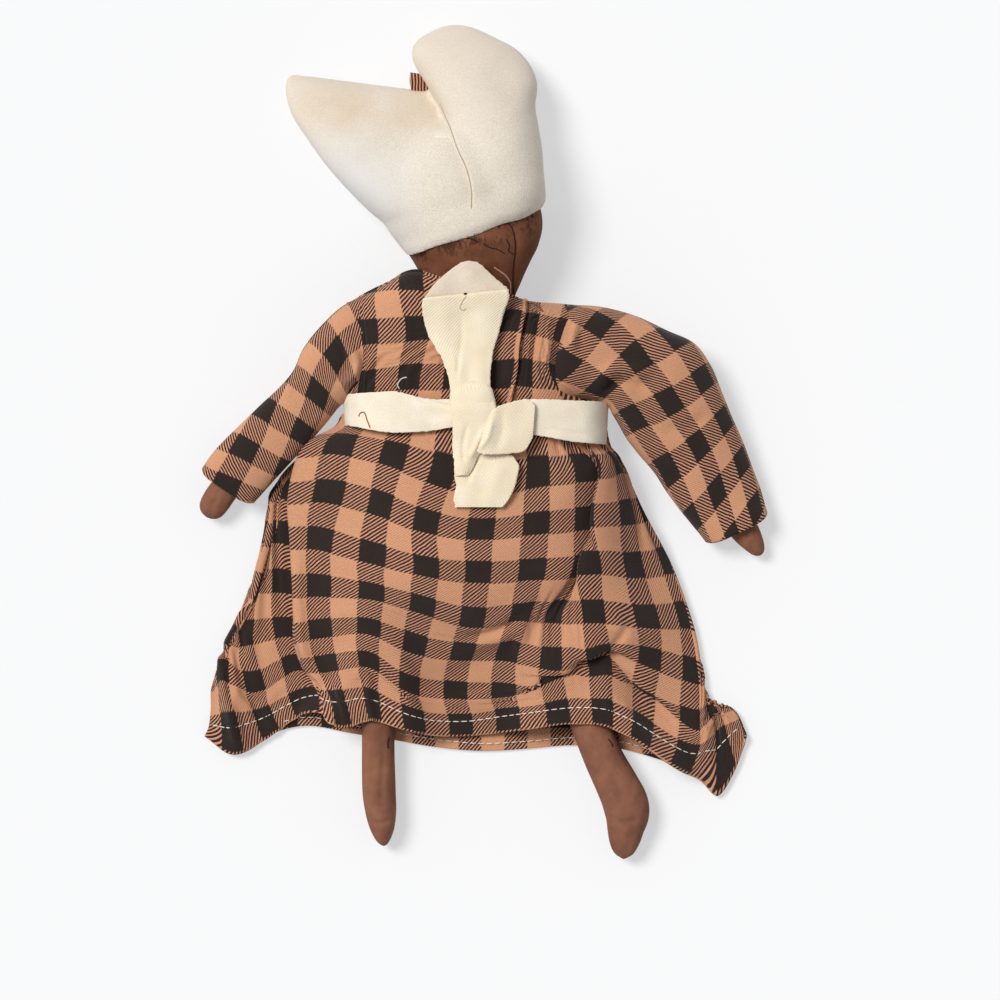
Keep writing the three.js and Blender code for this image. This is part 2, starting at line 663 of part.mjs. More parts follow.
function skirtPlace(u, v, inset) {
  const swing = Math.sin(Math.PI * smoothstep(v, gatherShare, 1));
  const side = 2 * u - 1;
  const drop = SKIRT_LENGTH + LEFT_CORNER_DROP * Math.pow(1 - u, 4) + RIGHT_CORNER_DROP * Math.pow(u, 4);
  return {
    x: -SKIRT_SWAY * swing + (skirtHalfWidth(v) - inset) * side,
    y: -SEAM_GAP - v * drop,
    arch: rounded(side, lerp(2, 2.8, smoothstep(v, gatherShare, 1))),
    middle: 1 - side * side,
    seam: lerp(torsoMid, dressBed + FLANNEL + HEM_SIDE, smoothstep(v, gatherShare, 0.45)),
    top: lerp(crownTop, HEM_CROWN, smoothstep(v, 0.4, 1)),
    fold: FOLD_DEPTH * smoothstep(v, 0.25, 1) * Math.cos(2 * Math.PI * FOLD_COUNT * u) * rounded(side, 2),
  };
}

// Shares that crowd towards the sides, where the cloth turns steeply
const towardsSides = (u) => (1 - Math.cos(Math.PI * u)) / 2;

// Levels from the waist seam, straight under the tie and then evenly to the hem
const skirtLevels = [0, ...Array.from({ length: 11 }, (_, i) => lerp(gatherShare, 1, i / 10))];

function skirtSurface(columns, inset, place) {
  return skirtLevels.map((v) => Array.from({ length: columns + 1 }, (_, c) =>
    place(skirtPlace(towardsSides(c / columns), v, inset))));
}

function skirtBack() {
  const surface = (inset) => skirtSurface(32, inset, (at) => {
    const rise = (at.top - at.seam - SEAM_GAP / 2 - inset) * at.arch;
    return vector(at.x, at.y, at.seam + SEAM_GAP / 2 + rise + at.fold * at.arch);
  });
  return sheet(surface(0), surface(FLANNEL));
}

function skirtFront() {
  const surface = (inset) => skirtSurface(18, inset, (at) => {
    const fall = (at.seam - SEAM_GAP / 2 - dressBed - inset) * at.arch;
    const longer = 1 + at.middle * FRONT_HEM_DROP / SKIRT_LENGTH;
    return vector(at.x, at.y * longer, at.seam - SEAM_GAP / 2 - fall);
  });
  return sheet(surface(FLANNEL), surface(0));
}

piece(doll, 'skirt_back', skirtBack(), flannel);
piece(doll, 'skirt_front', skirtFront(), flannel);

// Sleeves: a round cap about the shoulder joint, open towards the torso, that runs to an open cuff
function sleeve(side) {
  const [top, upper, elbow, lower, cuff] = side.widths;
  const capRadius = top / 2;
  const widthAt = (share) => along([[0, top], [0.22, upper], [0.42, elbow], [0.8, lower], [1, cuff]], share);
  const heightAt = (share) => lerp(SLEEVE_TOP_HEIGHT, CUFF_HEIGHT, smoothstep(share, 0, 1));
  const walls = (inset) => {
    const cap = [12, 35, 62].map((degrees) => {
      const a = degToRad(degrees);
      const wide = (capRadius - inset) * Math.sin(a);
      const high = (SLEEVE_TOP_HEIGHT / 2 - inset) * Math.sin(a);
      return ovalRing(vector(-(capRadius - inset) * Math.cos(a), 0, 0), 0, wide, high, SLEEVE_SIDES);
    });
    const tube = [0, 0.12, 0.25, 0.4, 0.55, 0.7, 0.85, 1].map((share) => {
      const distance = share * side.length;
      const high = heightAt(share) / 2;
      const middle = Math.max(armHeight(side, distance), SEAM_GAP + high - torsoMid);
      const centre = vector(distance, armShift(side, distance), middle);
      return ovalRing(centre, 0, widthAt(share) / 2 - inset, high - inset, SLEEVE_SIDES);
    });
    return [...cap, ...tube];
  };
  const armhole = new THREE.BoxGeometry(2 * capRadius, 4 * capRadius, ARMHOLE_HEIGHT)
    .translate(capRadius - ARMHOLE_SETBACK, 0, 0)
    .rotateZ(degToRad(side.facing));
  return cut(sock(walls(0), walls(FLANNEL)), armhole);
}

piece(leftArm, 'left_sleeve', sleeve(leftSide), flannel);
piece(rightArm, 'right_sleeve', sleeve(rightSide), flannel);

// Apron: a panel and waistband under the doll's front, with a tie round each side of the waist

function apronPanel() {
  const top = -tieHalf - SEAM_GAP;
  const bottom = top - APRON_LENGTH;
  const half = APRON_WIDTH / 2;
  const outline = new THREE.Shape();
  outline.moveTo(-WAISTBAND_WIDTH / 2, top);
  outline.lineTo(-half, top - APRON_CORNER);
  outline.lineTo(-half, bottom + APRON_CORNER);
  outline.absarc(-half + APRON_CORNER, bottom + APRON_CORNER, APRON_CORNER, Math.PI, 1.5 * Math.PI);
  outline.absarc(half - APRON_CORNER, bottom + APRON_CORNER, APRON_CORNER, 1.5 * Math.PI, 2 * Math.PI);
  outline.lineTo(half, top - APRON_CORNER);
  outline.lineTo(WAISTBAND_WIDTH / 2, top);
  outline.closePath();
  return plate(outline, COTTON, 0);
}

function waistband() {
  return new THREE.BoxGeometry(WAISTBAND_WIDTH, TIE_WIDTH, COTTON).translate(0, 0, COTTON / 2);
}

// A tie runs outside the dress from the waistband's end, round one side, to the knot behind
function tie(side) {
  const inner = { x: bodiceHalf + SEAM_GAP, z: waistDepth + 1.5 * SEAM_GAP };
  const start = -Math.acos((WAISTBAND_WIDTH / 2 + SEAM_GAP) / inner.x);
  const end = Math.acos((KNOT_WIDTH / 2 + SEAM_GAP) / inner.x);
  const surface = (grow) => grid(1, 16, (u, v) => {
    const a = lerp(start, end, u);
    return vector(
      side * (inner.x + grow) * Math.cos(a),
      lerp(-tieHalf, tieHalf, v),
      torsoMid + (inner.z + grow) * Math.sin(a),
    );
  });
  return sheet(surface(COTTON), surface(0));
}

piece(doll, 'apron_panel', apronPanel(), cotton);
piece(doll, 'apron_waistband', waistband(), cotton);
piece(doll, 'tie_left', tie(-1), cotton);
piece(doll, 'tie_right', tie(1), cotton);

// Half bow: a knot with one flared loop laid up to the neck, and two tails

const tieTop = crownTop + SEAM_GAP + COTTON;
const bowBed = tieTop + SEAM_GAP;

function knot() {
  const steps = 6;
  return loft(Array.from({ length: steps + 1 }, (_, i) => {
    const share = -0.97 * Math.cos((Math.PI * i) / steps);
    const size = rounded(share, 2.4);
    const middle = vector(0, share * tieHalf, crownTop + SEAM_GAP + KNOT_HEIGHT / 2);
    return ovalRing(middle, Math.PI / 2, (KNOT_WIDTH / 2) * size, (KNOT_HEIGHT / 2) * size, 12);
  }));
}

function bowLoop() {
  const foot = tieHalf + SEAM_GAP;
  const end = foot + LOOP_LENGTH;
  const half = LOOP_END_WIDTH / 2;
  const narrow = 0.4 * TIE_WIDTH;
  const outline = new THREE.Shape();
  outline.moveTo(-narrow, foot);
  outline.lineTo(narrow, foot);
  const swell = foot + 0.3 * LOOP_LENGTH;
  const spread = foot + 0.4 * LOOP_LENGTH;
  outline.bezierCurveTo(1.1 * narrow, swell, half, spread, half, end - 0.28 * LOOP_LENGTH);
  outline.quadraticCurveTo(0.3 * half, end, 0, end);
  outline.quadraticCurveTo(-0.3 * half, end, -half, end - 0.28 * LOOP_LENGTH);
  outline.bezierCurveTo(-half, spread, -1.1 * narrow, swell, -narrow, foot);
  return plate(outline, 2 * COTTON, crownTop + SEAM_GAP);
}

function sideTail() {
  const start = KNOT_WIDTH / 2 + SEAM_GAP;
  const end = start + SIDE_TAIL_LENGTH;
  const half = SIDE_TAIL_WIDTH / 2;
  const outline = new THREE.Shape();
  outline.moveTo(start, -0.6 * half);
  outline.lineTo(end - 0.25 * half, -half);
  outline.quadraticCurveTo(end, -half, end, -0.6 * half);
  outline.lineTo(end, 0.9 * half);
  outline.lineTo(start, 0.5 * half);
  outline.closePath();
  return plate(outline, COTTON, bowBed);
}

function downTail() {
  const start = -tieHalf - SEAM_GAP;
  const end = start - DOWN_TAIL_LENGTH;
  const half = DOWN_TAIL_WIDTH / 2;
  const outline = new THREE.Shape();
  outline.moveTo(-0.5 * half, start);
  outline.quadraticCurveTo(-0.9 * half, lerp(start, end, 0.6), -0.8 * half, end);
  outline.lineTo(0.7 * half, end);
  outline.quadraticCurveTo(1.3 * half, lerp(start, end, 0.5), half, lerp(start, end, 0.25));
  outline.lineTo(0.4 * half, start);
  outline.closePath();
  return plate(outline, 2 * COTTON, crownTop + SEAM_GAP);
}

piece(doll, 'tie_knot', knot(), cotton);
piece(doll, 'tie_loop', bowLoop(), cotton);
piece(doll, 'tie_side_tail', sideTail(), cotton);
piece(doll, 'tie_down_tail', downTail(), cotton);

export default doll;
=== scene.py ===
import bpy
import bmesh
import json
import math
import numpy as np
from mathutils import Matrix, Vector
from mathutils.bvhtree import BVHTree


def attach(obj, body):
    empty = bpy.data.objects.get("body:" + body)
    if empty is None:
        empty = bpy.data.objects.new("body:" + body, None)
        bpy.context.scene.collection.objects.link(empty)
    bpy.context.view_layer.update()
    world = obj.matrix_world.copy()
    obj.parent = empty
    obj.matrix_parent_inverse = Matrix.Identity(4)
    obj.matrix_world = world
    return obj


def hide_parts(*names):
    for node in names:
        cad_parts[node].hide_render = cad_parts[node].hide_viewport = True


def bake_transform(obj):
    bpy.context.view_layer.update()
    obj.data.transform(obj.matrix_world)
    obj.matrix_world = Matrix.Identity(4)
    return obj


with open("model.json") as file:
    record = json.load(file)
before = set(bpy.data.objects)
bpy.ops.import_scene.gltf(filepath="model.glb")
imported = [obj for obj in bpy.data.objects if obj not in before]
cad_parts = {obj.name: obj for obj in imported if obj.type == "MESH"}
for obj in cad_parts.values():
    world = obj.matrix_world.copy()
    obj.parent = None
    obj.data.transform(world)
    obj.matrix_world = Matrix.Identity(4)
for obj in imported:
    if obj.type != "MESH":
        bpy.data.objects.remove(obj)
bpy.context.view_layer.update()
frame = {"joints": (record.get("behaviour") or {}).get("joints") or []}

mm = 0.001
checkRepeat = 24.4       # a dark and a light square of the dress cloth, mm
uvPerMm = 0.1            # cloth UVs are in centimetres of flat cloth
flannelThickness = 1.0   # mm
cottonThickness = 0.9
threadPoints = 24        # points along a bit of thread


# surfaces are rows by columns of x, y, z, u, v in mm

def smoothRun(points, count):
    # a smooth line of count points through the given ones
    points = np.asarray(points, float)
    before, after = 2 * points[0] - points[1], 2 * points[-1] - points[-2]
    padded = np.concatenate([[before], points, [after]])
    at = np.linspace(0, len(points) - 1, count)
    i = np.minimum(at.astype(int), len(points) - 2)
    t = (at - i).reshape((-1,) + (1,) * (points.ndim - 1))
    a, b, c, d = padded[i], padded[i + 1], padded[i + 2], padded[i + 3]
    return b + 0.5 * t * (c - a + t * (2 * a - 5 * b + 4 * c - d + t * (3 * (b - c) + d - a)))


def smoothNet(net, down, across):
    # a net of control points as a dense surface, down rows by across columns
    return smoothRun(smoothRun(net, down).swapaxes(0, 1), across).swapaxes(0, 1)


def checkNet(points, columns, rows):
    # control points with the check columns and rows that lie on them
    net = np.zeros((len(points), len(columns), 5))
    net[:, :, :3] = points
    net[:, :, 3] = np.array(columns) * checkRepeat
    net[:, :, 4] = -rows * checkRepeat
    return net


def axes(surface):
    # x, y and z of a surface, which change it when they change
    return surface[:, :, 0], surface[:, :, 1], surface[:, :, 2]


def runAlong(points):
    # how far along its line each point lies
    steps = np.diff(points, axis=0, prepend=points[:1])
    return np.cumsum(np.linalg.norm(steps, axis=-1), axis=0)


def blendStep(value, low, high):
    t = np.clip((value - low) / (high - low), 0, 1)
    return t * t * (3 - 2 * t)


def ripple(x, y, height, size, seed):
    # soft irregular waves, about height mm high and size mm long
    draw = np.random.default_rng(seed)
    total = 0
    for i in range(7):
        turn = draw.uniform(0, math.pi)
        length = size * draw.uniform(0.7, 1.5)
        across = x * math.cos(turn) + y * math.sin(turn)
        total = total + np.sin(2 * math.pi * across / length + draw.uniform(0, 6.28))
    return height * total / 4


def creaseAlong(x, y, line, height, near, far):
    # a fold along a line of points: its slopes are near mm wide on the line's left and far mm on its right
    line = smoothRun(line, 24)
    best = np.full(x.shape, 1e9)
    side = np.zeros(x.shape)
    share = np.zeros(x.shape)
    for i in range(len(line) - 1):
        (ax, ay), (bx, by) = line[i], line[i + 1]
        dx, dy = bx - ax, by - ay
        t = np.clip(((x - ax) * dx + (y - ay) * dy) / (dx * dx + dy * dy), 0, 1)
        distance = np.hypot(x - ax - t * dx, y - ay - t * dy)
        closer = distance < best
        best = np.where(closer, distance, best)
        side = np.where(closer, dx * (y - ay) - dy * (x - ax), side)
        share = np.where(closer, (i + t) / (len(line) - 1), share)
    width = np.where(side > 0, near, far)
    fade = np.minimum(1, 5 * np.minimum(share + 0.02, 1.02 - share))
    return height * fade * np.exp(-(best / width) ** 2)


def creases(x, y, folds):
    # several folds together: line, height, width of its left and right slopes
    return sum((creaseAlong(x, y, *fold) for fold in folds), np.zeros(x.shape))


def pressFolds(surface, folds, low, high):
    # folds one after another, fading out where the cloth lies low
    x, y, z = axes(surface)
    for fold in folds:
        z += creaseAlong(x, y, *fold) * blendStep(z, low, high)


def topOf(pieces, surface):
    # the height of what lies under each point of a surface, 0 on the floor
    graph = bpy.context.evaluated_depsgraph_get()
    overAll = 0.2   # rays start above the whole doll
    heights = np.zeros(surface.shape[:2])
    for piece in pieces:
        tree = BVHTree.FromObject(piece, graph)
        for at in np.ndindex(heights.shape):
            hit = tree.ray_cast((surface[at][0] * mm, surface[at][1] * mm, overAll), (0, 0, -1))[0]
            if hit:
                heights[at] = max(heights[at], hit.z / mm)
    return heights


def settle(surface, support, fix, steps, slack, hold, keep, weight, bend):
    # gives the cloth back its flat lengths: seen from above it stays near its place, so it buckles and then drops
    place = surface[:, :, :3].copy()
    home = place.copy()
    flat = surface[:, :, 3:5]
    pull = 0.45   # share of a stretch that each end takes up at once

    def pairs(grid, dr, dc):
        rows, columns = grid.shape[:2]
        if dc < 0:
            return grid[:rows - dr, -dc:], grid[dr:, :columns + dc]
        return grid[:rows - dr, :columns - dc], grid[dr:, dc:]

    links = []
    for dr, dc in ((0, 1), (1, 0), (1, 1), (1, -1)):
        a, b = pairs(home, dr, dc)
        near = np.linalg.norm(b - a, axis=2)
        a, b = pairs(flat, dr, dc)
        rest = near + slack * np.maximum(np.linalg.norm(b - a, axis=2) - near, 0)
        links.append((dr, dc, rest))
    for step in range(steps):
        for dr, dc, rest in links:
            a, b = pairs(place, dr, dc)
            for odd in (0, 1):
                part = (slice(odd, None, 2), slice(None)) if dr else (slice(None), slice(odd, None, 2))
                gap = b[part] - a[part]
                length = np.maximum(np.linalg.norm(gap, axis=2), 1e-6)
                move = pull * (1 - rest[part] / length)[:, :, None] * gap
                a[part] += move
                b[part] -= move
        place[:, 1:-1] += bend * ((place[:, :-2] + place[:, 2:]) / 2 - place[:, 1:-1])
        place[1:-1] += bend * ((place[:-2] + place[2:]) / 2 - place[1:-1])
        place[:, :, :2] += hold * (home - place)[:, :, :2]
        place[:, :, 2] += keep * (home - place)[:, :, 2] - weight
        place[:, :, 2] = np.maximum(place[:, :, 2], support)
        place[:fix] = home[:fix]
    settled = surface.copy()
    settled[:, :, :3] = place
    return settled


def newPiece(name, bm, material):
    mesh = bpy.data.meshes.new(name)
    bm.to_mesh(mesh)
    bm.free()
    mesh.shade_smooth()
    mesh.materials.append(material)
    piece = bpy.data.objects.new(name, mesh)
    bpy.context.scene.collection.objects.link(piece)
    return piece


def gridMesh(name, surface, material, closed=False):
    # a grid whose points follow a surface; closed joins its ends and poles
    rows, columns = surface.shape[:2]
    bm = bmesh.new()
    cloth = bm.loops.layers.uv.new("cloth")
    bmesh.ops.create_grid(bm, x_segments=columns - 1, y_segments=rows - 1, size=1)
    for vert in bm.verts:
        row = round((1 - vert.co.y) / 2 * (rows - 1))
        column = round((1 + vert.co.x) / 2 * (columns - 1))
        x, y, z, u, v = surface[row, column]
        vert.co = (x * mm, y * mm, z * mm)
        for loop in vert.link_loops:
            loop[cloth].uv = (u * uvPerMm, v * uvPerMm)
    if closed:
        bmesh.ops.remove_doubles(bm, verts=bm.verts, dist=1e-6)
        bmesh.ops.recalc_face_normals(bm, faces=bm.faces)
    return newPiece(name, bm, material)


def thicken(piece, thickness, offset=-1):
    wall = piece.modifiers.new("cloth", "SOLIDIFY")
    wall.thickness = thickness * mm
    wall.offset = offset
    return piece


def section(sides, power):
    # once round a section: angle, and across and up from -1 to 1; a power over 2 makes it squarer
    angle = np.linspace(0, 2 * math.pi, sides + 1)
    across, up = (np.sign(part) * np.abs(part) ** (2 / power) for part in (np.cos(angle), np.sin(angle)))
    return angle, across, up


def closeEnds(surface):
    for end in (0, -1):
        surface[end, :, :3] = surface[end, :, :3].mean(axis=0)


def roundForm(stations, rows, sides, power=2):
    # a stuffed form round a line of stations: x, y, z, half width, half height
    line = smoothRun(stations, rows)
    heading = np.gradient(line[:, :2], axis=0)
    heading /= np.linalg.norm(heading, axis=1, keepdims=True)
    angle, across, up = section(sides, power)
    half = np.maximum(line[:, 3:5], 0.05)
    x = line[:, :1] + heading[:, 1:] * half[:, :1] * across
    y = line[:, 1:2] - heading[:, :1] * half[:, :1] * across
    z = line[:, 2:3] + half[:, 1:] * up
    u = half[:, :1] * angle
    v = np.repeat(runAlong(line[:, :3])[:, None], sides + 1, axis=1)
    surface = np.stack([x, y, z, u, v], axis=2)
    closeEnds(surface)
    surface[:, -1, :3] = surface[:, 0, :3]
    return surface


def flatForm(pairs, rows, sides, power=2.2):
    # the same from pairs of edges seen from above: left x, y, right x, y, middle height, half height
    line = smoothRun(pairs, rows)
    across, up = section(sides, power)[1:]
    share = (1 - across) / 2
    x = line[:, :1] + (line[:, 2:3] - line[:, :1]) * share
    y = line[:, 1:2] + (line[:, 3:4] - line[:, 1:2]) * share
    z = line[:, 4:5] + np.maximum(line[:, 5:6], 0.05) * up
    surface = np.stack([x, y, z, x, y], axis=2)
    surface[:, -1] = surface[:, 0]
    return surface


def strip(edges, rise, rows, across, wide):
    # a flat band between two edges: first x, y, second x, y, height; rise lifts it across its width
    edges = np.array(edges, float)[:, None]
    share = np.linspace(0, 1, len(rise))
    band = np.zeros((len(edges), len(rise), 5))
    band[:, :, :2] = edges[:, :, :2] + (edges[:, :, 2:4] - edges[:, :, :2]) * share[:, None]
    band[:, :, 2] = edges[:, :, 4] + rise
    band[:, :, 3] = runAlong(band[:, len(rise) // 2, :3])[:, None]
    band[:, :, 4] = wide * share
    return smoothNet(band, rows, across)


def threadPiece(name, points, heights, half, material):
    # a bit of thread along points seen from above
    line = np.zeros((len(points), 5))
    line[:, :2] = points
    line[:, 2] = heights
    line[:, 3:] = half
    return gridMesh(name, roundForm(line, 40, 8), material, True)


def stitchLine(name, path, length, gap, half):
    # thread stitches as small flattened beads along a line of points
    path = np.array(path)
    run = runAlong(path)
    bm = bmesh.new()
    for at in np.arange(length, run[-1] - length, length + gap):
        start, end = (Vector([np.interp(at + way * length / 2, run, path[:, i]) for i in range(3)]) for way in (-1, 1))
        turn = (end - start).to_track_quat("X", "Z").to_matrix().to_4x4()
        size = Matrix.Diagonal(((end - start).length / 2, half, half * 0.8, 1))
        place = Matrix.Translation((start + end) / 2 * mm + Vector((0, 0, half * mm * 0.6)))
        bmesh.ops.create_uvsphere(bm, u_segments=8, v_segments=6, radius=mm, matrix=place @ turn @ size)
    piece = newPiece(name, bm, whiteThread)
    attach(piece, "torso")
    return piece


def jointPlace(name):
    return next(j for j in frame["joints"] if j["name"] == name)["pos_m"]


def linear(hexColour):
    parts = [int(hexColour[i:i + 2], 16) / 255 for i in (1, 3, 5)]
    return [c / 12.92 if c <= 0.04045 else ((c + 0.055) / 1.055) ** 2.4 for c in parts] + [1]


def addNode(tree, kind, inputs=None, out=0, **settings):
    # a new node with its inputs set or linked, given back as one of its outputs
    node = tree.nodes.new("ShaderNode" + kind)
    for key, value in settings.items():
        setattr(node, key, value)
    for socket, value in (inputs or {}).items():
        if isinstance(value, bpy.types.NodeSocket):
            tree.links.new(value, node.inputs[socket])
        else:
            node.inputs[socket].default_value = value
    return node.outputs[out]


def calc(tree, operation, *values, clamp=False):
    return addNode(tree, "Math", dict(enumerate(values)), operation=operation, use_clamp=clamp)


def noise(tree, place, scale, detail, roughness=0.5, out="Fac"):
    return addNode(tree, "TexNoise", {"Vector": place, "Scale": scale, "Detail": detail, "Roughness": roughness}, out)


def spread(tree, value, low, high, top=1.0):
    return addNode(tree, "MapRange", {"Value": value, "From Min": low, "From Max": high, "To Max": top})


def mixed(tree, share, first, second, **settings):
    first, second = (linear(c) if isinstance(c, str) else c for c in (first, second))
    return addNode(tree, "Mix", {0: share, 6: first, 7: second}, 2, data_type="RGBA", **settings)


def split(tree, place):
    return addNode(tree, "SeparateXYZ", {0: place}).node.outputs


def twillRib(tree, slant, spacing, wave):
    # a wave across the twill's diagonal, spacing in mm
    turns = 2 * math.pi / (spacing * uvPerMm * math.sqrt(2))
    return calc(tree, wave, calc(tree, "MULTIPLY", slant, turns))


def newFinish(name, roughness, sheen=0.0):
    material = bpy.data.materials.new(name)
    material.use_nodes = True
    tree = material.node_tree
    shader = tree.nodes["Principled BSDF"]
    shader.inputs["Roughness"].default_value = roughness
    shader.inputs["Specular IOR Level"].default_value = 0.15
    shader.inputs["Sheen Weight"].default_value = sheen
    return material, tree, shader


def coverWith(tree, shader, colour, height, strength, distance):
    tree.links.new(colour, shader.inputs["Base Color"])
    bump = addNode(tree, "Bump", {"Strength": strength, "Distance": distance, "Height": height})
    tree.links.new(bump, shader.inputs["Normal"])


def checkedFlannel():
    # Brushed cotton twill, yarn dyed in half-inch checks: soft, matt, with diagonal ribs
    # that show as dark and light lines where a dark yarn crosses a light one
    look = {
        "dark": "#2a211d", "darkNap": "#40352f", "light": "#cf9069", "lightNap": "#e1ab87", "line": "#38222a",
        "lineSpacing": 1.42,   # drawn lines of the mixed squares, mm
        "ribSpacing": 0.9,     # twill rib, drawn a little coarser than woven so that it shows
        "napSize": 0.7,
        "stray": 0.07,         # how far the yarns wander, cm
        "edgeStep": 0.035,     # the squares' edges are stepped by the twill, cm
        "edge": 9.0,           # and how sharp they are
    }
    material, tree, shader = newFinish("checked_cotton_flannel", 0.95, 0.12)
    place = addNode(tree, "TexCoord", out="UV")
    stray = noise(tree, place, 2.2, 2.0, out="Color")
    stray = addNode(tree, "VectorMath", {0: stray, 1: (-0.5, -0.5, -0.5)}, operation="ADD")
    stray = addNode(tree, "VectorMath", {0: stray, "Scale": look["stray"]}, operation="SCALE")
    x, y = split(tree, addNode(tree, "VectorMath", {0: place, 1: stray}, operation="ADD"))[:2]
    slant = calc(tree, "SUBTRACT", x, y)
    lineWave = twillRib(tree, slant, look["lineSpacing"], "COSINE")
    turns = 2 * math.pi / (checkRepeat * uvPerMm)
    masks = []
    for axis in (x, y):
        stepped = calc(tree, "MULTIPLY_ADD", lineWave, look["edgeStep"], axis)
        wave = calc(tree, "COSINE", calc(tree, "MULTIPLY", stepped, turns))
        masks.append(calc(tree, "MULTIPLY_ADD", wave, look["edge"], 0.5, clamp=True))
    lines = calc(tree, "MULTIPLY_ADD", lineWave, 2.0, 0.95, clamp=True)
    both = calc(tree, "MULTIPLY", *masks)
    either = calc(tree, "MAXIMUM", *masks)
    darkness = calc(tree, "MAXIMUM", both, calc(tree, "MULTIPLY", either, lines))
    nap = noise(tree, place, 1 / (look["napSize"] * uvPerMm), 4.0, 0.7)
    blotch = noise(tree, place, 0.6, 3.0)
    rib = twillRib(tree, slant, look["ribSpacing"], "SINE")
    fuzz = spread(tree, calc(tree, "MULTIPLY_ADD", rib, 0.09, nap), 0.35, 0.7)
    dark = mixed(tree, calc(tree, "MULTIPLY", fuzz, blotch), look["dark"], look["darkNap"])
    light = mixed(tree, fuzz, look["light"], look["lightNap"])
    dark = mixed(tree, both, look["line"], dark)
    colour = mixed(tree, darkness, light, dark)
    coverWith(tree, shader, colour, calc(tree, "MULTIPLY_ADD", rib, 0.35, nap), 0.7, 0.0003)
    return material


def creamCotton(name, base, shade, ribs):
    # Unbleached cotton twill, raw edged: ribs shows its diagonal face, and 0 its brushed back
    look = {"ribSpacing": 1.0, "napSize": 0.8}
    material, tree, shader = newFinish(name, 0.92, 0.15)
    place = addNode(tree, "TexCoord", out="UV")
    x, y = split(tree, place)[:2]
    rib = twillRib(tree, calc(tree, "SUBTRACT", x, y), look["ribSpacing"], "SINE")
    nap = noise(tree, place, 1 / (look["napSize"] * uvPerMm), 5.0, 0.7)
    blotch = noise(tree, place, 0.7, 3.0)
    colour = mixed(tree, spread(tree, calc(tree, "MULTIPLY", nap, blotch), 0.12, 0.42), shade, base)
    coverWith(tree, shader, colour, calc(tree, "MULTIPLY_ADD", rib, 0.4 * ribs, nap), 0.55, 0.0003)
    return material


def creamFelt():
    # Wool-blend felt: thick, napped, pale cream with a tea-coloured stain towards the lobes' tops
    look = {
        "base": "#fdf3e3", "shade": "#e3d6c0", "stain": "#dfc4a0", "rosy": "#ecdac6", "cool": "#e6e5e2",
        "fibre": 0.7,                        # mm
        "stainAt": (-0.05, 0.138, 0.02),     # the left lobe's upper edge
    }
    material, tree, shader = newFinish("cream_wool_felt", 0.97, 0.2)
    place = addNode(tree, "TexCoord", out="Object")
    x, y = split(tree, place)[:2]
    fibre = noise(tree, place, 1 / (look["fibre"] * mm), 6.0, 0.75)
    blotch = noise(tree, place, 28.0, 4.0)
    colour = mixed(tree, spread(tree, fibre, 0.36, 0.64), look["shade"], look["base"])
    colour = mixed(tree, spread(tree, y, 0.12, 0.17, 0.6), colour, look["rosy"])
    away = addNode(tree, "VectorMath", {0: place, 1: look["stainAt"]}, "Value", operation="DISTANCE")
    stain = calc(tree, "MULTIPLY", spread(tree, blotch, 0.38, 0.7), spread(tree, away, 0.042, 0.006, 0.8))
    colour = mixed(tree, stain, colour, look["stain"])
    lowLeft = calc(tree, "MULTIPLY", spread(tree, x, -0.02, -0.055), spread(tree, y, 0.135, 0.1))
    colour = mixed(tree, lowLeft, colour, look["cool"])
    coverWith(tree, shader, colour, fibre, 0.8, 0.0007)
    return material


def paintedMuslin(name, base, light, scuff, wear, hairline=None):
    # Muslin brushed with brown craft paint: dry and matt, with the weave and darker scuffs showing through
    look = {"thread": 1.1, "hair": "#1d1310"}
    material, tree, shader = newFinish(name, 0.78)
    place = addNode(tree, "TexCoord", out="Object")
    weave = noise(tree, place, 1 / (look["thread"] * mm), 3.0)
    brush = noise(tree, place, 55.0, 5.0, 0.65)
    rub = noise(tree, place, 130.0, 6.0, 0.8)
    colour = mixed(tree, spread(tree, brush, 0.35, 0.68), base, light)
    colour = mixed(tree, spread(tree, rub, 0.66 - wear, 0.78 - wear), colour, scuff)
    if hairline:   # short black strokes just below a slanting line, y = rise + slope x
        rise, slope, depth = hairline
        x, y = split(tree, place)[:2]
        near = spread(tree, calc(tree, "MULTIPLY_ADD", x, -slope, y), (rise - depth) * mm, rise * mm)
        drawn = addNode(tree, "Mapping", {"Vector": place, "Scale": (1.0, 0.45, 0.6), "Rotation": (0, 0, -0.9)})
        stroke = calc(tree, "MULTIPLY", noise(tree, drawn, 620.0, 4.0, 0.7), noise(tree, place, 85.0, 2.0))
        stroke = calc(tree, "MULTIPLY", spread(tree, stroke, 0.27, 0.33), near)
        colour = mixed(tree, stroke, colour, look["hair"])
    coverWith(tree, shader, colour, calc(tree, "MULTIPLY_ADD", brush, 0.6, weave), 0.4, 0.0003)
    return material


def sewingThread(name, colour):
    # Spun cotton thread, matt
    material, tree, shader = newFinish(name, 0.8, 0.1)
    twist = noise(tree, addNode(tree, "TexCoord", out="Object"), 1500.0, 2.0)
    tone = addNode(tree, "MapRange", {"Value": twist, "To Min": 0.82, "To Max": 1.05})
    shade = mixed(tree, 1.0, colour, tone, blend_type="MULTIPLY")
    tree.links.new(shade, shader.inputs["Base Color"])
    return material


flannel = checkedFlannel()
felt = creamFelt()
twillFace = creamCotton("cream_cotton_twill", "#fff3da", "#f6e3c0", 1.0)
twillBack = creamCotton("brushed_cotton_back", "#fff6e4", "#ecdcc0", 0.0)
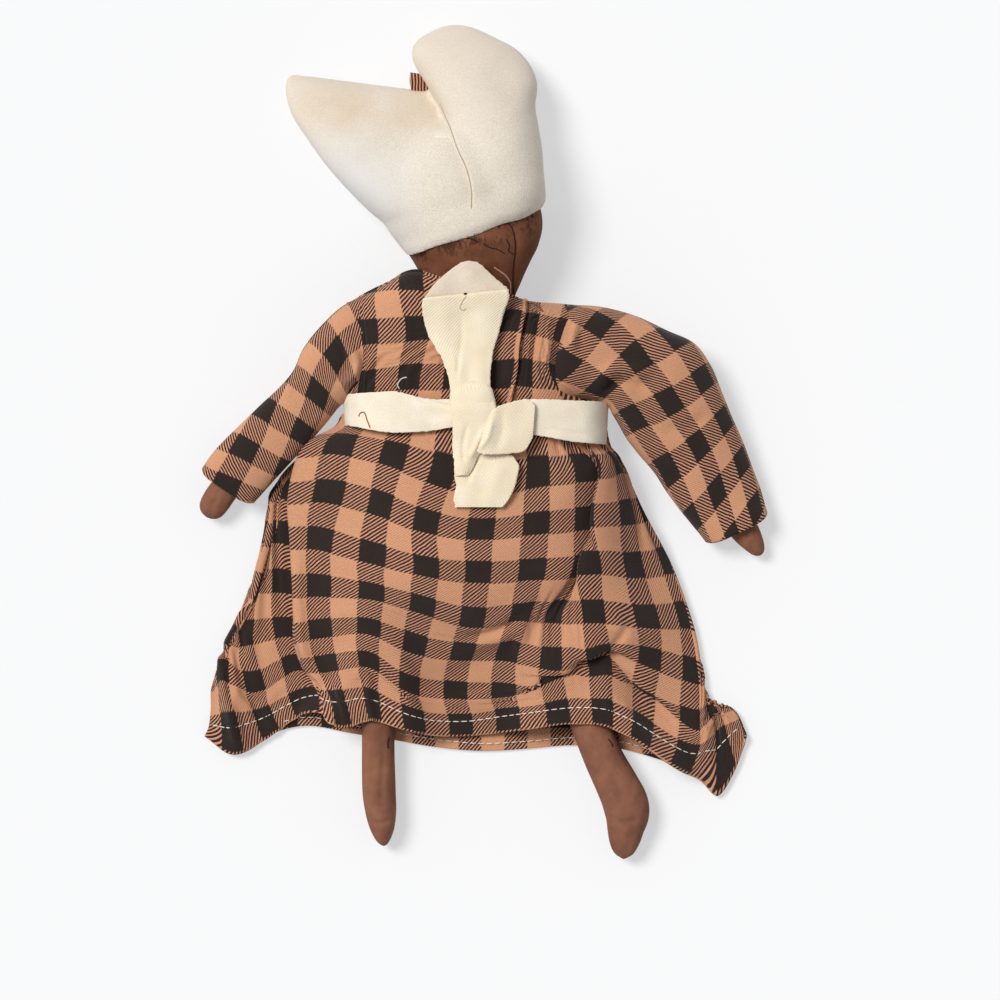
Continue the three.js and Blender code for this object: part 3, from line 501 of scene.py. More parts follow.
# the loop's inner face, greyer: painted shade where the loop's folded edge lies over it
twillInShade = creamCotton("soiled_cotton_inside", "#f4e6d3", "#dac9b2", 0.0)
headPaint = paintedMuslin("brown_painted_muslin", "#633923", "#82533b", "#2a1710", 0.03, (83, 0.27, 13))
limbPaint = paintedMuslin("worn_painted_muslin", "#7a4f3e", "#98674e", "#38241c", 0.0)
whiteThread = sewingThread("white_cotton_thread", "#f4f0e4")
print("finishes made")


torso = {
    "stations": [(0, -67.5, 21.9, 6, 3), (0, -65.5, 21.9, 28, 10), (0, -58, 21.9, 38, 15), (0, -40, 21.9, 44, 18.3),
                 (0, -10, 21.9, 42.5, 19), (0, 15, 21.9, 40, 19), (0, 35, 21.9, 38.5, 18), (0, 45, 21.9, 37, 14.5),
                 (0, 49, 21.9, 30, 8), (0, 49.8, 21.9, 6, 3)],
    "grid": (60, 48),
    "squareness": 2.6,
}
pillow = roundForm(torso["stations"], *torso["grid"], torso["squareness"])
torsoPillow = gridMesh("torso_pillow", pillow, limbPaint, True)
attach(torsoPillow, "torso")
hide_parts("torso_cover", "torso_stuffing")

limbs = {
    "left_arm": [(-37.5, 42, 22, 1.5, 1.5), (-40, 39, 22, 6, 6), (-47, 31, 21.5, 7, 7), (-60, 21, 20, 7, 7),
                 (-74, 6, 17.5, 7, 6.8), (-88, -9, 14.5, 6.8, 6.3), (-101, -20, 11.5, 6.4, 5.8),
                 (-108, -26.5, 9.8, 6.4, 5.6), (-112.5, -31.5, 9, 6.5, 5.4), (-116, -36.5, 8.5, 6.5, 5.1),
                 (-118.2, -40, 8.1, 5.9, 4.6), (-119.4, -42, 7.8, 4.6, 3.8), (-120.1, -43.2, 7.6, 2.6, 2.4),
                 (-120.4, -43.7, 7.5, 0.3, 0.3)],
    "right_arm": [(38.5, 36, 22, 1.5, 1.5), (41, 33.5, 22, 6, 6), (50, 30, 21.5, 7, 7), (68, 22, 20, 7, 7),
                  (83, 6, 17.5, 7, 6.8), (96, -13, 14.5, 6.8, 6.3), (108, -32, 11, 6.6, 6),
                  (115.5, -42.5, 9, 6.6, 5.8), (121.5, -50.5, 8.4, 6.2, 5.2), (125, -55.5, 8, 4.8, 4.4),
                  (126.9, -58.6, 7.7, 3.4, 3.2), (127.7, -60.2, 7.5, 2, 2), (128, -60.9, 7.5, 0.3, 0.3)],
    "left_leg": [(-40.5, -65, 21.9, 1, 1), (-40.7, -67.5, 21.9, 6, 6), (-41.2, -76, 20.5, 8.2, 7.6),
                 (-42, -100, 15, 8, 7.8), (-42.8, -125, 11, 7.6, 7.6), (-43.3, -145, 10.5, 7.3, 8),
                 (-43, -165, 9.6, 7.5, 8.6), (-42.2, -175, 9.6, 7, 9.2), (-41.6, -182, 9.2, 5.8, 8.4),
                 (-41.2, -187, 8.6, 4, 6.6), (-40.9, -190, 8, 2, 3.6), (-40.8, -191.2, 7.8, 0.3, 0.4)],
    "right_leg": [(24.5, -71, 21.9, 1, 1), (25.5, -73.3, 21.9, 6, 6), (29, -81.5, 20, 8.2, 7.6),
                  (38.5, -104, 14.5, 8, 7.8), (48.5, -129, 10.5, 8.4, 7.6), (57, -150, 10.6, 8.8, 8),
                  (63.5, -163, 10.8, 9.6, 8), (67.2, -171, 11.2, 10.2, 7.6), (68.2, -177, 10.8, 9.9, 7.2),
                  (67.5, -184, 10.2, 8.2, 6.6), (67, -190, 9.6, 6.6, 5.6), (66.8, -194.5, 9, 4.2, 4),
                  (66.7, -197, 8.6, 0.4, 0.4)],
}
limbCreases = {
    "left_leg": [([(-40.5, -142), (-41.5, -158), (-41.8, -176)], -0.7, 1.2, 1.2),
                 ([(-49, -178), (-44, -180.4), (-37, -178.6)], -0.9, 1.2, 1.6)],
    "right_leg": [([(53, -146), (62, -160), (68, -172)], -0.6, 1.3, 1.3),
                  ([(58, -176), (66, -180), (74, -178)], -0.8, 1.4, 1.6),
                  ([(60, -168), (64, -174), (62, -182)], 0.6, 2, 2)],
    "left_arm": [([(-112, -30), (-115, -34), (-117, -39)], -0.5, 1, 1)],
    "right_arm": [([(118, -48), (122, -52), (125, -57)], -0.5, 1, 1)],
}
limbGrid = (140, 44)
limbWaves = (0.25, 9, 11)
limbPieces = {}
for name, stations in limbs.items():
    surface = roundForm(stations, *limbGrid)
    x, y, z = axes(surface)
    z += creases(x, y, limbCreases[name]) * blendStep(z, 9, 13)   # on the upper side
    z += ripple(y, x * 2, *limbWaves) * blendStep(z, 6, 12)
    limb = gridMesh(name + "_form", surface, limbPaint, True)
    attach(limb, name)
    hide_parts(name + "_cover", name + "_stuffing")
    limbPieces[name] = limb

head = {
    # left x, y, right x, y, middle height, half height
    "edges": [(-3, 47.5, 8, 47.5, 24, 3), (-11, 49.5, 16, 49.5, 24, 10), (-15.5, 55, 18, 55, 24.8, 13.5),
              (-18.6, 60, 20.2, 60, 26, 16.5), (-24, 65, 22.6, 65.5, 26.6, 19), (-27.3, 70, 25.2, 71, 27, 21.5),
              (-30.6, 76, 28.3, 77.5, 27.4, 23.5), (-33, 85, 30.2, 87, 26.6, 24), (-32, 95, 28, 97, 24.4, 21),
              (-30, 107, 20, 108, 22.6, 15.5), (-27, 118, 10, 119, 21.6, 9), (-22, 126, -2, 127, 21, 5),
              (-17, 130, -10, 130.5, 20.6, 2.4), (-14.5, 131.2, -13.5, 131.3, 20.5, 0.5)],
    "creases": [([(11.9, 88), (16.3, 84), (18, 76), (17, 64.5), (17.4, 54)], -0.9, 0.8, 0.8),
                ([(-2, 77), (6, 75.5), (14, 72)], -0.5, 0.9, 0.9),
                ([(-22, 76), (-14, 79), (-6, 80)], -0.4, 1.2, 1.2)],
    "grid": (130, 96),
    "waves": (0.25, 10, 6),
}
surface = flatForm(head["edges"], *head["grid"], 2)
closeEnds(surface)
x, y, z = axes(surface)
over = blendStep(z, 28, 34)   # the upper side
z += creases(x, y, head["creases"]) * over
z += ripple(x, y, *head["waves"]) * over
headForm = gridMesh("head_form", surface, headPaint, True)
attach(headForm, "head")
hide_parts("head_cover", "head_stuffing")

face = {
    "eyes": [(-10, 74.5), (7.5, 75)],
    "eye": (1.7, 2.1, 0.8),
    "mouth": [(-6.5, 64.5), (-3.6, 62.8), (-0.8, 62.3), (2, 62.9), (4.8, 64.7)],
    "lip": 0.5,
    "sunk": 0.2,
}
headTree = BVHTree.FromObject(headForm, bpy.context.evaluated_depsgraph_get())


def faceHeight(x, y):
    # the face is on the underside, as the doll lies on it
    return headTree.ray_cast((x * mm, y * mm, -0.1), (0, 0, 1))[0].z


bm = bmesh.new()
for x, y in face["eyes"]:
    place = Matrix.Translation((x * mm, y * mm, faceHeight(x, y))) @ Matrix.Diagonal((*face["eye"], 1))
    bmesh.ops.create_uvsphere(bm, u_segments=20, v_segments=12, radius=mm, matrix=place)
eyes = newPiece("stitched_eyes", bm, sewingThread("black_embroidery_cotton", "#1b1513"))
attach(eyes, "head")
lips = smoothRun(face["mouth"], threadPoints)
heights = [faceHeight(x, y) / mm - face["sunk"] for x, y in lips]
redCotton = sewingThread("red_embroidery_cotton", "#8a2f2a")
mouth = threadPiece("stitched_mouth", lips, heights, face["lip"], redCotton)
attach(mouth, "head")
print("body made")


# the headwrap is a felt bag on the head with two stuffed lobes
wrap = {
    # left x, y, right x, y, middle height, half height
    "cap": [(-31, 68, 26, 86, 27.5, 25), (-32.5, 75.5, 31.4, 95, 27.5, 26.5), (-38, 83, 31.6, 100, 27.5, 27),
            (-42, 92, 31, 107, 27.5, 27), (-42, 104, 29, 116, 27, 25.8), (-36, 115, 24, 124, 26, 23.4),
            (-26, 126, 14, 131, 24.5, 17), (-20, 133, 6, 136, 23.5, 0.5)],
    "left": [(-36, 84, -4, 84, 27, 20), (-46.5, 92, -1, 96, 26.5, 23), (-57.5, 103, -3, 108, 24.5, 21.5),
             (-67, 114, -6, 120, 21, 18.8), (-75.5, 126, -10, 131, 17, 15.8), (-82, 136, -13, 140, 13.4, 12.6),
             (-84.9, 145, -17, 146, 10.6, 9.9), (-85.2, 150, -20, 146.6, 8.8, 7.9),
             (-84.8, 153.6, -23, 147.4, 7.2, 5.4), (-82.6, 155.6, -27, 148, 6.4, 0.3)],
    "right": [(-6, 88, 30, 92, 28, 23), (-6.5, 98, 31.6, 100, 28.5, 25.5), (-9, 110, 30.8, 110, 27.8, 25.8),
              (-10, 121, 30, 121, 26.6, 25), (-12.5, 131, 28.4, 131, 24.6, 23.4), (-16, 140, 27, 140, 22.4, 21.6),
              (-21.4, 149, 28.2, 149, 19.9, 19.2), (-26.8, 158, 25, 158, 17, 16.4),
              (-28.6, 165, 18.8, 165.5, 14, 13.4), (-25.5, 170.4, 10.5, 170.4, 11, 10.2),
              (-19, 174.4, 2.2, 174.6, 9, 7), (-13, 177.2, -5, 177.4, 8, 0.4)],
    "thickness": 1.8,
    "voxel": 1.1,
    "brimPoint": (0.2, 83.8, 27.5),
    "brimFacing": (-0.309, 0.951, 0.1),
    # the line where the right lobe folds over the left one
    "fold": [(-19.8, 148.5), (-15.2, 140.3), (-10.7, 129), (-7.3, 118.8), (-3.3, 109.7), (-1.1, 100.7), (-1.1, 90)],
    # soft hollows, and the dimple of the tacking stitch
    "hollows": [([(-20, 125.4), (-15, 124.6), (-10.5, 124.2)], -1.2, 1.3, 1.3),
                ([(-52, 112), (-40, 118), (-30, 128)], -0.9, 7, 7),
                ([(-70, 140), (-58, 132), (-46, 128)], -0.8, 6, 6), ([(8, 160), (14, 148), (18, 136)], -0.8, 6, 6),
                ([(24, 140), (27, 128), (26, 116)], -1.2, 5, 5),
                ([(-30, 90), (-15, 92), (2, 97), (20, 103)], -0.7, 5, 5)],
    "lumpGrid": (60, 48),
    "smoothing": 12,
    "middle": 27,         # height that the brim's edge turns in to
    "turnedWidth": 4,     # how much of the brim turns in
    "waves": (0.25, 26, 5),
    "brimWaves": (0.9, 22, 17),
    "brimWidth": 14,      # over which those fade out
}
lumps = [gridMesh("wrap_" + part, flatForm(wrap[part], *wrap["lumpGrid"]), felt, True)
         for part in ("cap", "left", "right")]
bm = bmesh.new()
for lump in lumps:
    bm.from_mesh(lump.data)
    bpy.data.objects.remove(lump)
bmesh.ops.holes_fill(bm, edges=[e for e in bm.edges if e.is_boundary])
bmesh.ops.recalc_face_normals(bm, faces=bm.faces)
headwrap = newPiece("headwrap_felt", bm, felt)
remesh = headwrap.modifiers.new("bag", "REMESH")
remesh.mode = "VOXEL"
remesh.voxel_size = wrap["voxel"] * mm
bag = bpy.data.meshes.new_from_object(headwrap.evaluated_get(bpy.context.evaluated_depsgraph_get()))
headwrap.modifiers.clear()
bm = bmesh.new()
bm.from_mesh(bag)
for i in range(wrap["smoothing"]):
    bmesh.ops.smooth_vert(bm, verts=bm.verts, factor=0.5, use_axis_x=True, use_axis_y=True, use_axis_z=True)
brim, facing = Vector(wrap["brimPoint"]), Vector(wrap["brimFacing"]).normalized()
bmesh.ops.bisect_plane(bm, geom=bm.verts[:] + bm.edges[:] + bm.faces[:], plane_co=brim * mm,
                       plane_no=facing, clear_inner=True)
# finer faces beside the fold
x, y, z = np.array([vert.co for vert in bm.verts]).T / mm
close = (creaseAlong(x, y, wrap["fold"], 1, 2.4, 2.4) > 0.25) & (z > 12)
bm.verts.index_update()
beside = [edge for edge in bm.edges if close[edge.verts[0].index] and close[edge.verts[1].index]]
bmesh.ops.subdivide_edges(bm, edges=beside, cuts=2, use_grid_fill=True)
# the right lobe steps up over the left one along the fold, and the empty felt waves a little
x, y, z = np.array([vert.co for vert in bm.verts]).T / mm
dip = creaseAlong(x, y, wrap["fold"], 1.1, 9, 0.45) + creaseAlong(x, y, wrap["fold"], -1.1, 0.45, 4)
dip += ripple(x, y, *wrap["waves"]) + creases(x, y, wrap["hollows"])
dip *= blendStep(z, 12, 20)
for vert, drop in zip(bm.verts, dip):
    vert.co.z += float(drop) * mm
    away = (vert.co / mm - brim).dot(facing)
    turn = max(0, 1 - away / wrap["turnedWidth"]) ** 2
    vert.co.z -= (vert.co.z - wrap["middle"] * mm) * 0.06 * turn
    vert.co.x += 0.05 * mm * turn * (1 - vert.co.x / mm)
    wave = float(ripple(vert.co.x / mm, vert.co.z / mm, *wrap["brimWaves"])) * mm
    vert.co.y += wave * max(0, 1 - away / wrap["brimWidth"])
bm.to_mesh(bag)
bm.free()
bag.shade_smooth()
bag.materials.clear()
bag.materials.append(felt)
headwrap.data = bag
thicken(headwrap, wrap["thickness"])
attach(headwrap, "head")
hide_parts("headwrap_left", "headwrap_right")
print("headwrap made")

skirt = {
    # check columns from the left side, under the left pleat, to the folded right corner
    "columns": [-2.5, -2, -1, 0, 0.28, 0.42, 0.56, 1, 2, 3, 4, 5, 5.6, 6.1, 6.45, 6.8, 7.15, 7.5, 8, 9, 9.5, 9.8,
                10.2, 10.8],
    "rows": [-0.7, -0.42, 0, 1, 2, 3, 3.5, 4, 4.4, 4.8, 5.2, 5.6, 6, 6.27],
    # where each crossing of those lies, row by row from waist to hem
    "net": [
        [(-58.3, 0, 7), (-59, 0.8, 8), (-59.4, 1.5, 10), (-59.4, 2.1, 13), (-58.4, 2.2, 15.5), (-59, 2.4, 17.5),
         (-57.6, 2.3, 20.5), (-52.5, 2.2, 26), (-31.5, 2.2, 36.8), (-10.5, 2.2, 39.6), (9, 2.2, 39.6),
         (28.5, 2.2, 38), (35, 2.2, 36), (40, 2.2, 33.8), (43.5, 2.2, 31.8), (45, 2.2, 31.6), (46.5, 2.2, 31.8),
         (49.5, 2.2, 29.5), (54.5, 2.2, 24.5), (57.6, 2.2, 19), (57.9, 1.9, 14.5), (57.6, 1.6, 11.5), (57.2, 1.4, 9),
         (56.8, 1.2, 8)],
        [(-60.5, -5, 7), (-61.3, -4.5, 8), (-61.8, -4, 10), (-62, -3.5, 12.5), (-61, -3.2, 15), (-62.5, -3.1, 17),
         (-60.4, -3, 20.2), (-54.4, -4, 26.4), (-32.6, -6.5, 39.6), (-11.5, -7.5, 42), (8.5, -8, 42),
         (28.5, -9, 40.6), (36.5, -9.5, 38.5), (42.5, -10, 36), (46.6, -10.3, 33), (48, -10.4, 32.6),
         (49, -10.5, 33), (52.6, -10.8, 30.2), (57, -11.2, 24), (59.6, -11.3, 19), (60, -11.6, 14.5),
         (59.6, -11.8, 11.5), (59, -12, 8.5), (58.6, -12.3, 7)],
        [(-75.3, -16.8, 6), (-76.2, -16.5, 7), (-76.5, -15.6, 8.5), (-75, -14.7, 10.5), (-72.6, -13.2, 13),
         (-77.4, -12.3, 17.5), (-73.4, -11.6, 22.5), (-60, -10.5, 29.5), (-36, -15.8, 40.5), (-14.2, -24.8, 43),
         (7.2, -28.5, 43), (27.9, -24.8, 41.5), (41, -23.2, 40), (51.5, -22.5, 35), (57, -22, 29.5),
         (57.6, -21.6, 30.5), (55.2, -21.5, 39), (59.6, -20.8, 36), (63.4, -18.8, 26), (65.6, -19.8, 18),
         (64.8, -20.9, 13), (63.6, -21.9, 10), (62.2, -22.9, 7), (60.9, -23.7, 5)],
        [(-86.7, -33.8, 3.5), (-88.5, -33.3, 4.5), (-90, -31.8, 6), (-86.8, -30.8, 7.5), (-79.2, -33, 9.5),
         (-83.6, -33.2, 14.5), (-80.2, -33, 19.5), (-64.5, -32.2, 26), (-41.7, -37.5, 37), (-22.5, -45.8, 42.5),
         (2.2, -49.5, 42.5), (27.4, -46.4, 41), (41, -45, 38.5), (51, -44, 33), (56, -43.5, 29), (56.2, -43.2, 30.5),
         (51.3, -42.8, 39), (57.8, -42.5, 37), (68.7, -41.4, 23.5), (74, -40.2, 13), (73.9, -41.6, 8.8),
         (73, -42.6, 6.5), (71.2, -44.2, 4.8), (69, -45.3, 4)],
        [(-90.3, -52.5, 3), (-92.1, -51.8, 3.5), (-93.6, -50.2, 5), (-88.6, -49.8, 6.2), (-78.8, -52.6, 7.5),
         (-83.2, -52.8, 12.5), (-79.8, -52.8, 17.5), (-69.8, -53.2, 21), (-45.8, -60, 32), (-21, -66, 40.5),
         (1.5, -68.2, 41.5), (25.5, -67.2, 39.5), (40, -66, 36.5), (49.5, -65, 30.5), (48, -64.3, 31.5),
         (46.2, -63.9, 37), (54, -63.6, 35), (60.5, -63.8, 31), (71.1, -65.2, 20.5), (85.8, -63.6, 9),
         (86.6, -65, 6.2), (85.8, -66.5, 5), (83.5, -68.3, 3.8), (81, -69.8, 3)],
        [(-96, -75.8, 2.5), (-97.8, -74.5, 3), (-98.1, -72.3, 4.5), (-88, -72.3, 5.5), (-77.6, -74.2, 6.5),
         (-82, -74.4, 11), (-78.6, -74.3, 15.5), (-70.5, -74.2, 18), (-45.8, -76.5, 31), (-23.2, -82.5, 32.5),
         (-0.8, -89.2, 32), (21, -85.5, 33), (30, -85.8, 31), (37, -85.8, 29), (42.5, -85.7, 30.5),
         (48.5, -85.6, 31.5), (55.5, -85.8, 31), (63, -86.8, 28), (77.4, -88.6, 19.5), (94.5, -87.8, 7.5),
         (95.4, -89.3, 5), (94.5, -91.5, 4), (92.5, -93.5, 3.5), (90, -95, 3)],
        [(-102.6, -88, 2.4), (-104, -86.8, 2.7), (-101.3, -84.1, 4.7), (-87.2, -83.2, 5.3), (-77.4, -85.5, 6.2),
         (-81.7, -85.7, 10.7), (-78.4, -85.4, 14.9), (-70.4, -84.3, 16.9), (-46.4, -84.4, 29.1),
         (-25.1, -91.4, 27.5), (-2.9, -96.5, 26.3), (17.5, -94.5, 27.9), (28, -95.5, 28.5), (36, -96.5, 29),
         (42.8, -96, 30.5), (49.5, -96, 31.2), (57, -95.5, 30.6), (66, -96, 26.4), (79, -97.5, 18.8),
         (96.6, -100.4, 7.5), (99.1, -102, 4.9), (98.7, -104.7, 3.8), (97.2, -107.5, 3.2), (95.3, -110.2, 2.9)],
        [(-109.4, -99.6, 2.5), (-110, -98, 3), (-103.5, -96, 5), (-86, -93.3, 5.2), (-77, -96, 6),
         (-81.2, -96.2, 10.5), (-77.9, -95.6, 14.5), (-69.8, -93.8, 16), (-47, -92.2, 27), (-27, -100.5, 23),
         (-5.2, -103.5, 21), (14.2, -103.5, 22.5), (26.2, -105.8, 26), (35.5, -106.5, 28.5), (43, -106, 29.5),
         (50.5, -107, 28.6), (58, -103, 27.2), (66.6, -103.6, 23.6), (78.6, -106.2, 18.2), (97.5, -112.8, 8),
         (101.8, -114, 5.5), (102.2, -116.5, 4), (101.5, -119.5, 3.2), (101, -123, 3)],
        [(-113, -107.3, 2.7), (-112.4, -103.4, 4.4), (-102.5, -105.3, 5), (-84.5, -99.9, 5), (-76.2, -102.9, 6),
         (-80.4, -102.6, 10.3), (-77.2, -101.8, 14.1), (-68.8, -100.3, 15.5), (-47.1, -98.1, 25.9),
         (-28.5, -107.8, 20.9), (-7.1, -110.6, 18), (12.8, -111.1, 18.8), (25.6, -112.8, 23.5), (35, -114.2, 25),
         (43, -112, 25.8), (50, -103, 22.5), (57.5, -99.5, 22), (66.2, -106.4, 20.4), (77, -114, 17.8),
         (97.7, -122.1, 8.9), (102.4, -122.3, 7), (103.6, -122.8, 4.8), (104.3, -124.4, 4), (106, -126.9, 3.8)],
        [(-115.6, -114.3, 2.9), (-113.5, -107.9, 6.3), (-100.3, -114.2, 4.8), (-82.8, -105.9, 4.8), (-75.1, -109, 6),
         (-79, -108, 10.1), (-76, -107.1, 13.7), (-67.4, -106.3, 15.1), (-47.1, -104, 25), (-29.7, -115.1, 19.4),
         (-8.7, -118.1, 15.7), (12.1, -118.6, 15.4), (26.2, -119.4, 18.5), (35.2, -108.8, 20.5), (42, -105.5, 21),
         (51.3, -108.5, 21.5), (58.6, -106, 22), (66, -112.6, 19.4), (75, -121.5, 16.2), (97.4, -130.8, 9.8),
         (102.2, -129.9, 8.9), (104.4, -128, 5.7), (106.8, -127.5, 5.1), (110.9, -128.2, 4.7)],
        [(-117.2, -121.9, 3.1), (-113.3, -115.8, 7.9), (-98.5, -121.6, 4.9), (-81.4, -112.2, 4.9),
         (-73.4, -114.1, 6.1), (-76.5, -113.3, 10), (-73.7, -112.7, 13.5), (-65.5, -112.5, 15.1),
         (-47.1, -110.3, 23.9), (-29.9, -121.5, 17.6), (-8.8, -124.5, 13.4), (12.2, -124.2, 12.9), (27, -120.6, 14),
         (36.5, -115.5, 19.2), (43.8, -113, 20.3), (52, -114.5, 21.8), (59, -113, 22.5), (66.5, -116.6, 18.2),
         (75.6, -120.2, 12.6), (97.2, -138, 10.2), (102.8, -136.2, 10.2), (105.8, -133.1, 6.3), (109, -131.2, 5.9),
         (114.6, -130.5, 5.2)],
        [(-117.5, -130.1, 3.2), (-111.5, -126.1, 9.8), (-97.2, -127.2, 5.3), (-80.4, -118.5, 5.5),
         (-70.9, -117.7, 6.6), (-72.8, -117.6, 10.3), (-70.2, -117.6, 13.7), (-63, -118.1, 15.7),
         (-47.3, -116.6, 22.8), (-29, -126.7, 15.7), (-7.2, -129.8, 11.6), (13.4, -127.5, 11.3), (27.8, -125.6, 13),
         (37.8, -122.3, 18.3), (44.8, -121, 20.4), (52.6, -122, 21.8), (59.5, -121.5, 21.8), (66.5, -125, 18),
         (75, -129, 12.6), (97.3, -143.5, 10.4), (104.2, -140, 11.7), (107.8, -136, 6.7), (110.7, -134, 6.6),
         (117.1, -132.9, 5.3)],
        [(-118.8, -137.7, 3), (-109.2, -139.5, 9), (-94.5, -134.5, 5), (-79, -126, 5), (-69, -124, 6),
         (-69, -125.4, 9.5), (-66.4, -126.4, 13), (-60, -127.5, 15.5), (-46.5, -125.7, 21.5), (-27.8, -133.5, 13),
         (-6, -136.2, 9), (14.2, -133.2, 9), (28.5, -130.8, 12), (39, -129.6, 17.5), (46, -129.3, 20.5),
         (53, -129.4, 21.5), (60, -130.6, 21), (66.5, -133.6, 17.6), (73.8, -137.7, 12.5), (95.1, -150.3, 8.5),
         (103.5, -149.5, 10), (109, -149.8, 6), (113.5, -144, 6), (119.3, -137.5, 5)],
        [(-120.9, -142.2, 2.5), (-107.7, -150.6, 6), (-91.5, -141.4, 4), (-77.5, -132, 3.6), (-68.6, -131, 4.6),
         (-66.8, -134, 8), (-63.8, -135.9, 11.5), (-57.6, -137.4, 14.5), (-45, -134.4, 20.5), (-27, -139.8, 10.5),
         (-6, -141.9, 6.5), (14.2, -139.8, 6.5), (29.2, -137.4, 10), (39.8, -135.9, 16), (46.8, -135.8, 19.5),
         (53.6, -136, 21), (60.2, -137.4, 21), (66, -140, 16.6), (72.8, -143.7, 11), (91.5, -156.6, 5.5),
         (101, -161.5, 6), (109, -169.3, 4.5), (116.5, -157.5, 4.5), (120.9, -142.5, 4.5)],
    ],
    # folds: line, height, width of its left and right slopes
    "folds": [
        ([(60.5, -86), (66, -93), (72, -104)], 1.8, 4, 3.5),
        ([(-12, -104), (2, -101), (16, -97.5), (26, -96)], 2.6, 6, 4.5),
        ([(-34, -109), (-26, -113), (-16, -117), (-4, -118)], -2.4, 5, 5),
        ([(-36, -72), (-20, -77), (-4, -82), (8, -86)], 2.2, 6, 5),
        ([(8, -68), (20, -74), (30, -78), (38, -78)], 2.2, 5, 5),
        ([(-8, -55), (4, -57), (18, -60), (30, -62)], 1.4, 5, 6),
        ([(-60, -58), (-50, -66), (-40, -72)], 1.2, 6, 6),
        ([(-66, -105), (-56, -110), (-50, -112)], 1.6, 5, 4),
        ([(-68, -84), (-58, -88), (-50, -88)], 1.2, 5, 5),
    ],
    # sharper creases pressed in after the cloth has settled
    "creases": [
        ([(20, -126), (28, -121.5), (36, -116.4)], -1.6, 1.6, 2.4),
        ([(60, -103), (65, -97), (68, -92)], -1.8, 1.8, 2.2),
        ([(58, -107.5), (65, -112.5), (74, -119.5)], -1.6, 1.8, 1.8),
        ([(78, -125), (84, -131), (91, -138)], -1.2, 2, 2),
        ([(-6, -97.5), (8, -94.5), (19, -90.5)], -1.6, 1.8, 2.8),
        ([(-26, -115), (-16, -119.5), (-4, -121), (6, -119)], -1.4, 2, 2.4),
        ([(-84.6, -58), (-84.2, -70), (-83.8, -81), (-82.8, -93), (-80.4, -104.5), (-75.4, -115.5),
          (-70, -121)], -5.5, 1.3, 2.6),
        ([(-82.2, -58), (-81.8, -70), (-81.4, -81), (-80.2, -93), (-77.6, -104), (-72.6, -114.5)], 2.2, 4, 1.6),
        ([(36, -9), (45, -14), (53, -20)], -1.4, 1.6, 2),
        ([(-109.5, -122), (-109, -134), (-107.5, -147)], 1.6, 2, 2),
    ],
    "settle": {"steps": 90, "slack": 0.4, "hold": 0.06, "keep": 0.03, "weight": 0.03, "bend": 0.14},
    # the legs' swings under it, degrees about the upward axis
    "legs": {"left_leg": ("left_hip_spread", -16, 11), "right_leg": ("right_hip_spread", -19, 10.5)},
    "stitchRow": 5.96, "stitch": 3.1, "stitchGap": 0.6,
    "stitchHalf": 0.24,
    "waves": (0.5, 24, 2),             # height and length in mm, seed
    "heldRows": 2,                     # sewn in at the waist
    "grid": (92, 111), "fineGrid": (165, 261),
    "clearance": 1.7, "lowest": 3.6,   # over the body and legs, and over the floor
    "slope": 0.8,                      # of cloth that something lifts
}
net = checkNet(skirt["net"], skirt["columns"], np.array(skirt["rows"])[:, None])
skirtSurface = smoothNet(net, *skirt["grid"])
x, y, z = axes(skirtSurface)
pressFolds(skirtSurface, skirt["folds"], 5, 9)
z += ripple(x, y, *skirt["waves"]) * blendStep(z, 5, 12)   # none where it lies on the floor
support = topOf([torsoPillow], skirtSurface)
for leg, (joint, low, high) in skirt["legs"].items():   # room for each leg all along its swing
    hip = np.array(jointPlace(joint)[:2]) / mm
    fromHip = skirtSurface[:, :, :2] - hip
    for angle in np.radians(np.linspace(low, high, 9)):
        ahead, aside = [math.cos(angle), math.sin(angle)], [-math.sin(angle), math.cos(angle)]
        turned = np.stack([fromHip @ ahead, fromHip @ aside], axis=2) + hip
        support = np.maximum(support, topOf([limbPieces[leg]], turned))
support = np.maximum(support + skirt["clearance"], skirt["lowest"])
acrossDrop = skirt["slope"] * np.linalg.norm(np.diff(skirtSurface[:, :, :2], axis=1), axis=2)
downDrop = skirt["slope"] * np.linalg.norm(np.diff(skirtSurface[:, :, :2], axis=0), axis=2)
for i in range(12):   # lifted cloth slopes down from what lifts it
    for grid, drop in ((support.T, acrossDrop.T), (support, downDrop)):
        grid[1:] = np.maximum(grid[1:], grid[:-1] - drop)
        grid[:-1] = np.maximum(grid[:-1], grid[1:] - drop)
z[:] = np.maximum(z, support)
skirtSurface = settle(skirtSurface, support, skirt["heldRows"], **skirt["settle"])
z = skirtSurface[:, :, 2]
for i in range(6):   # fine ripples along the cloth even out
    z[1:-1] += 0.5 * ((z[:-2] + z[2:]) / 2 - z[1:-1])
z[:] = np.maximum(z, support)
fine = smoothNet(np.dstack([skirtSurface, support]), *skirt["fineGrid"])
skirtSurface, support = fine[:, :, :5], fine[:, :, 5]
pressFolds(skirtSurface, skirt["creases"], 4, 8)
skirtSurface[:, :, 2] = np.maximum(skirtSurface[:, :, 2], support - 0.2)
skirtBack = thicken(gridMesh("skirt_back_cloth", skirtSurface, flannel), flannelThickness)
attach(skirtBack, "torso")
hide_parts("skirt_back")
stitchAt = skirt["stitchRow"] * checkRepeat
hemLine = [[np.interp(stitchAt, -column[:, 4], column[:, i]) for i in range(3)]
           for column in skirtSurface.swapaxes(0, 1)]
hemStitches = stitchLine("skirt_hem_stitches", hemLine, skirt["stitch"], skirt["stitchGap"], skirt["stitchHalf"])

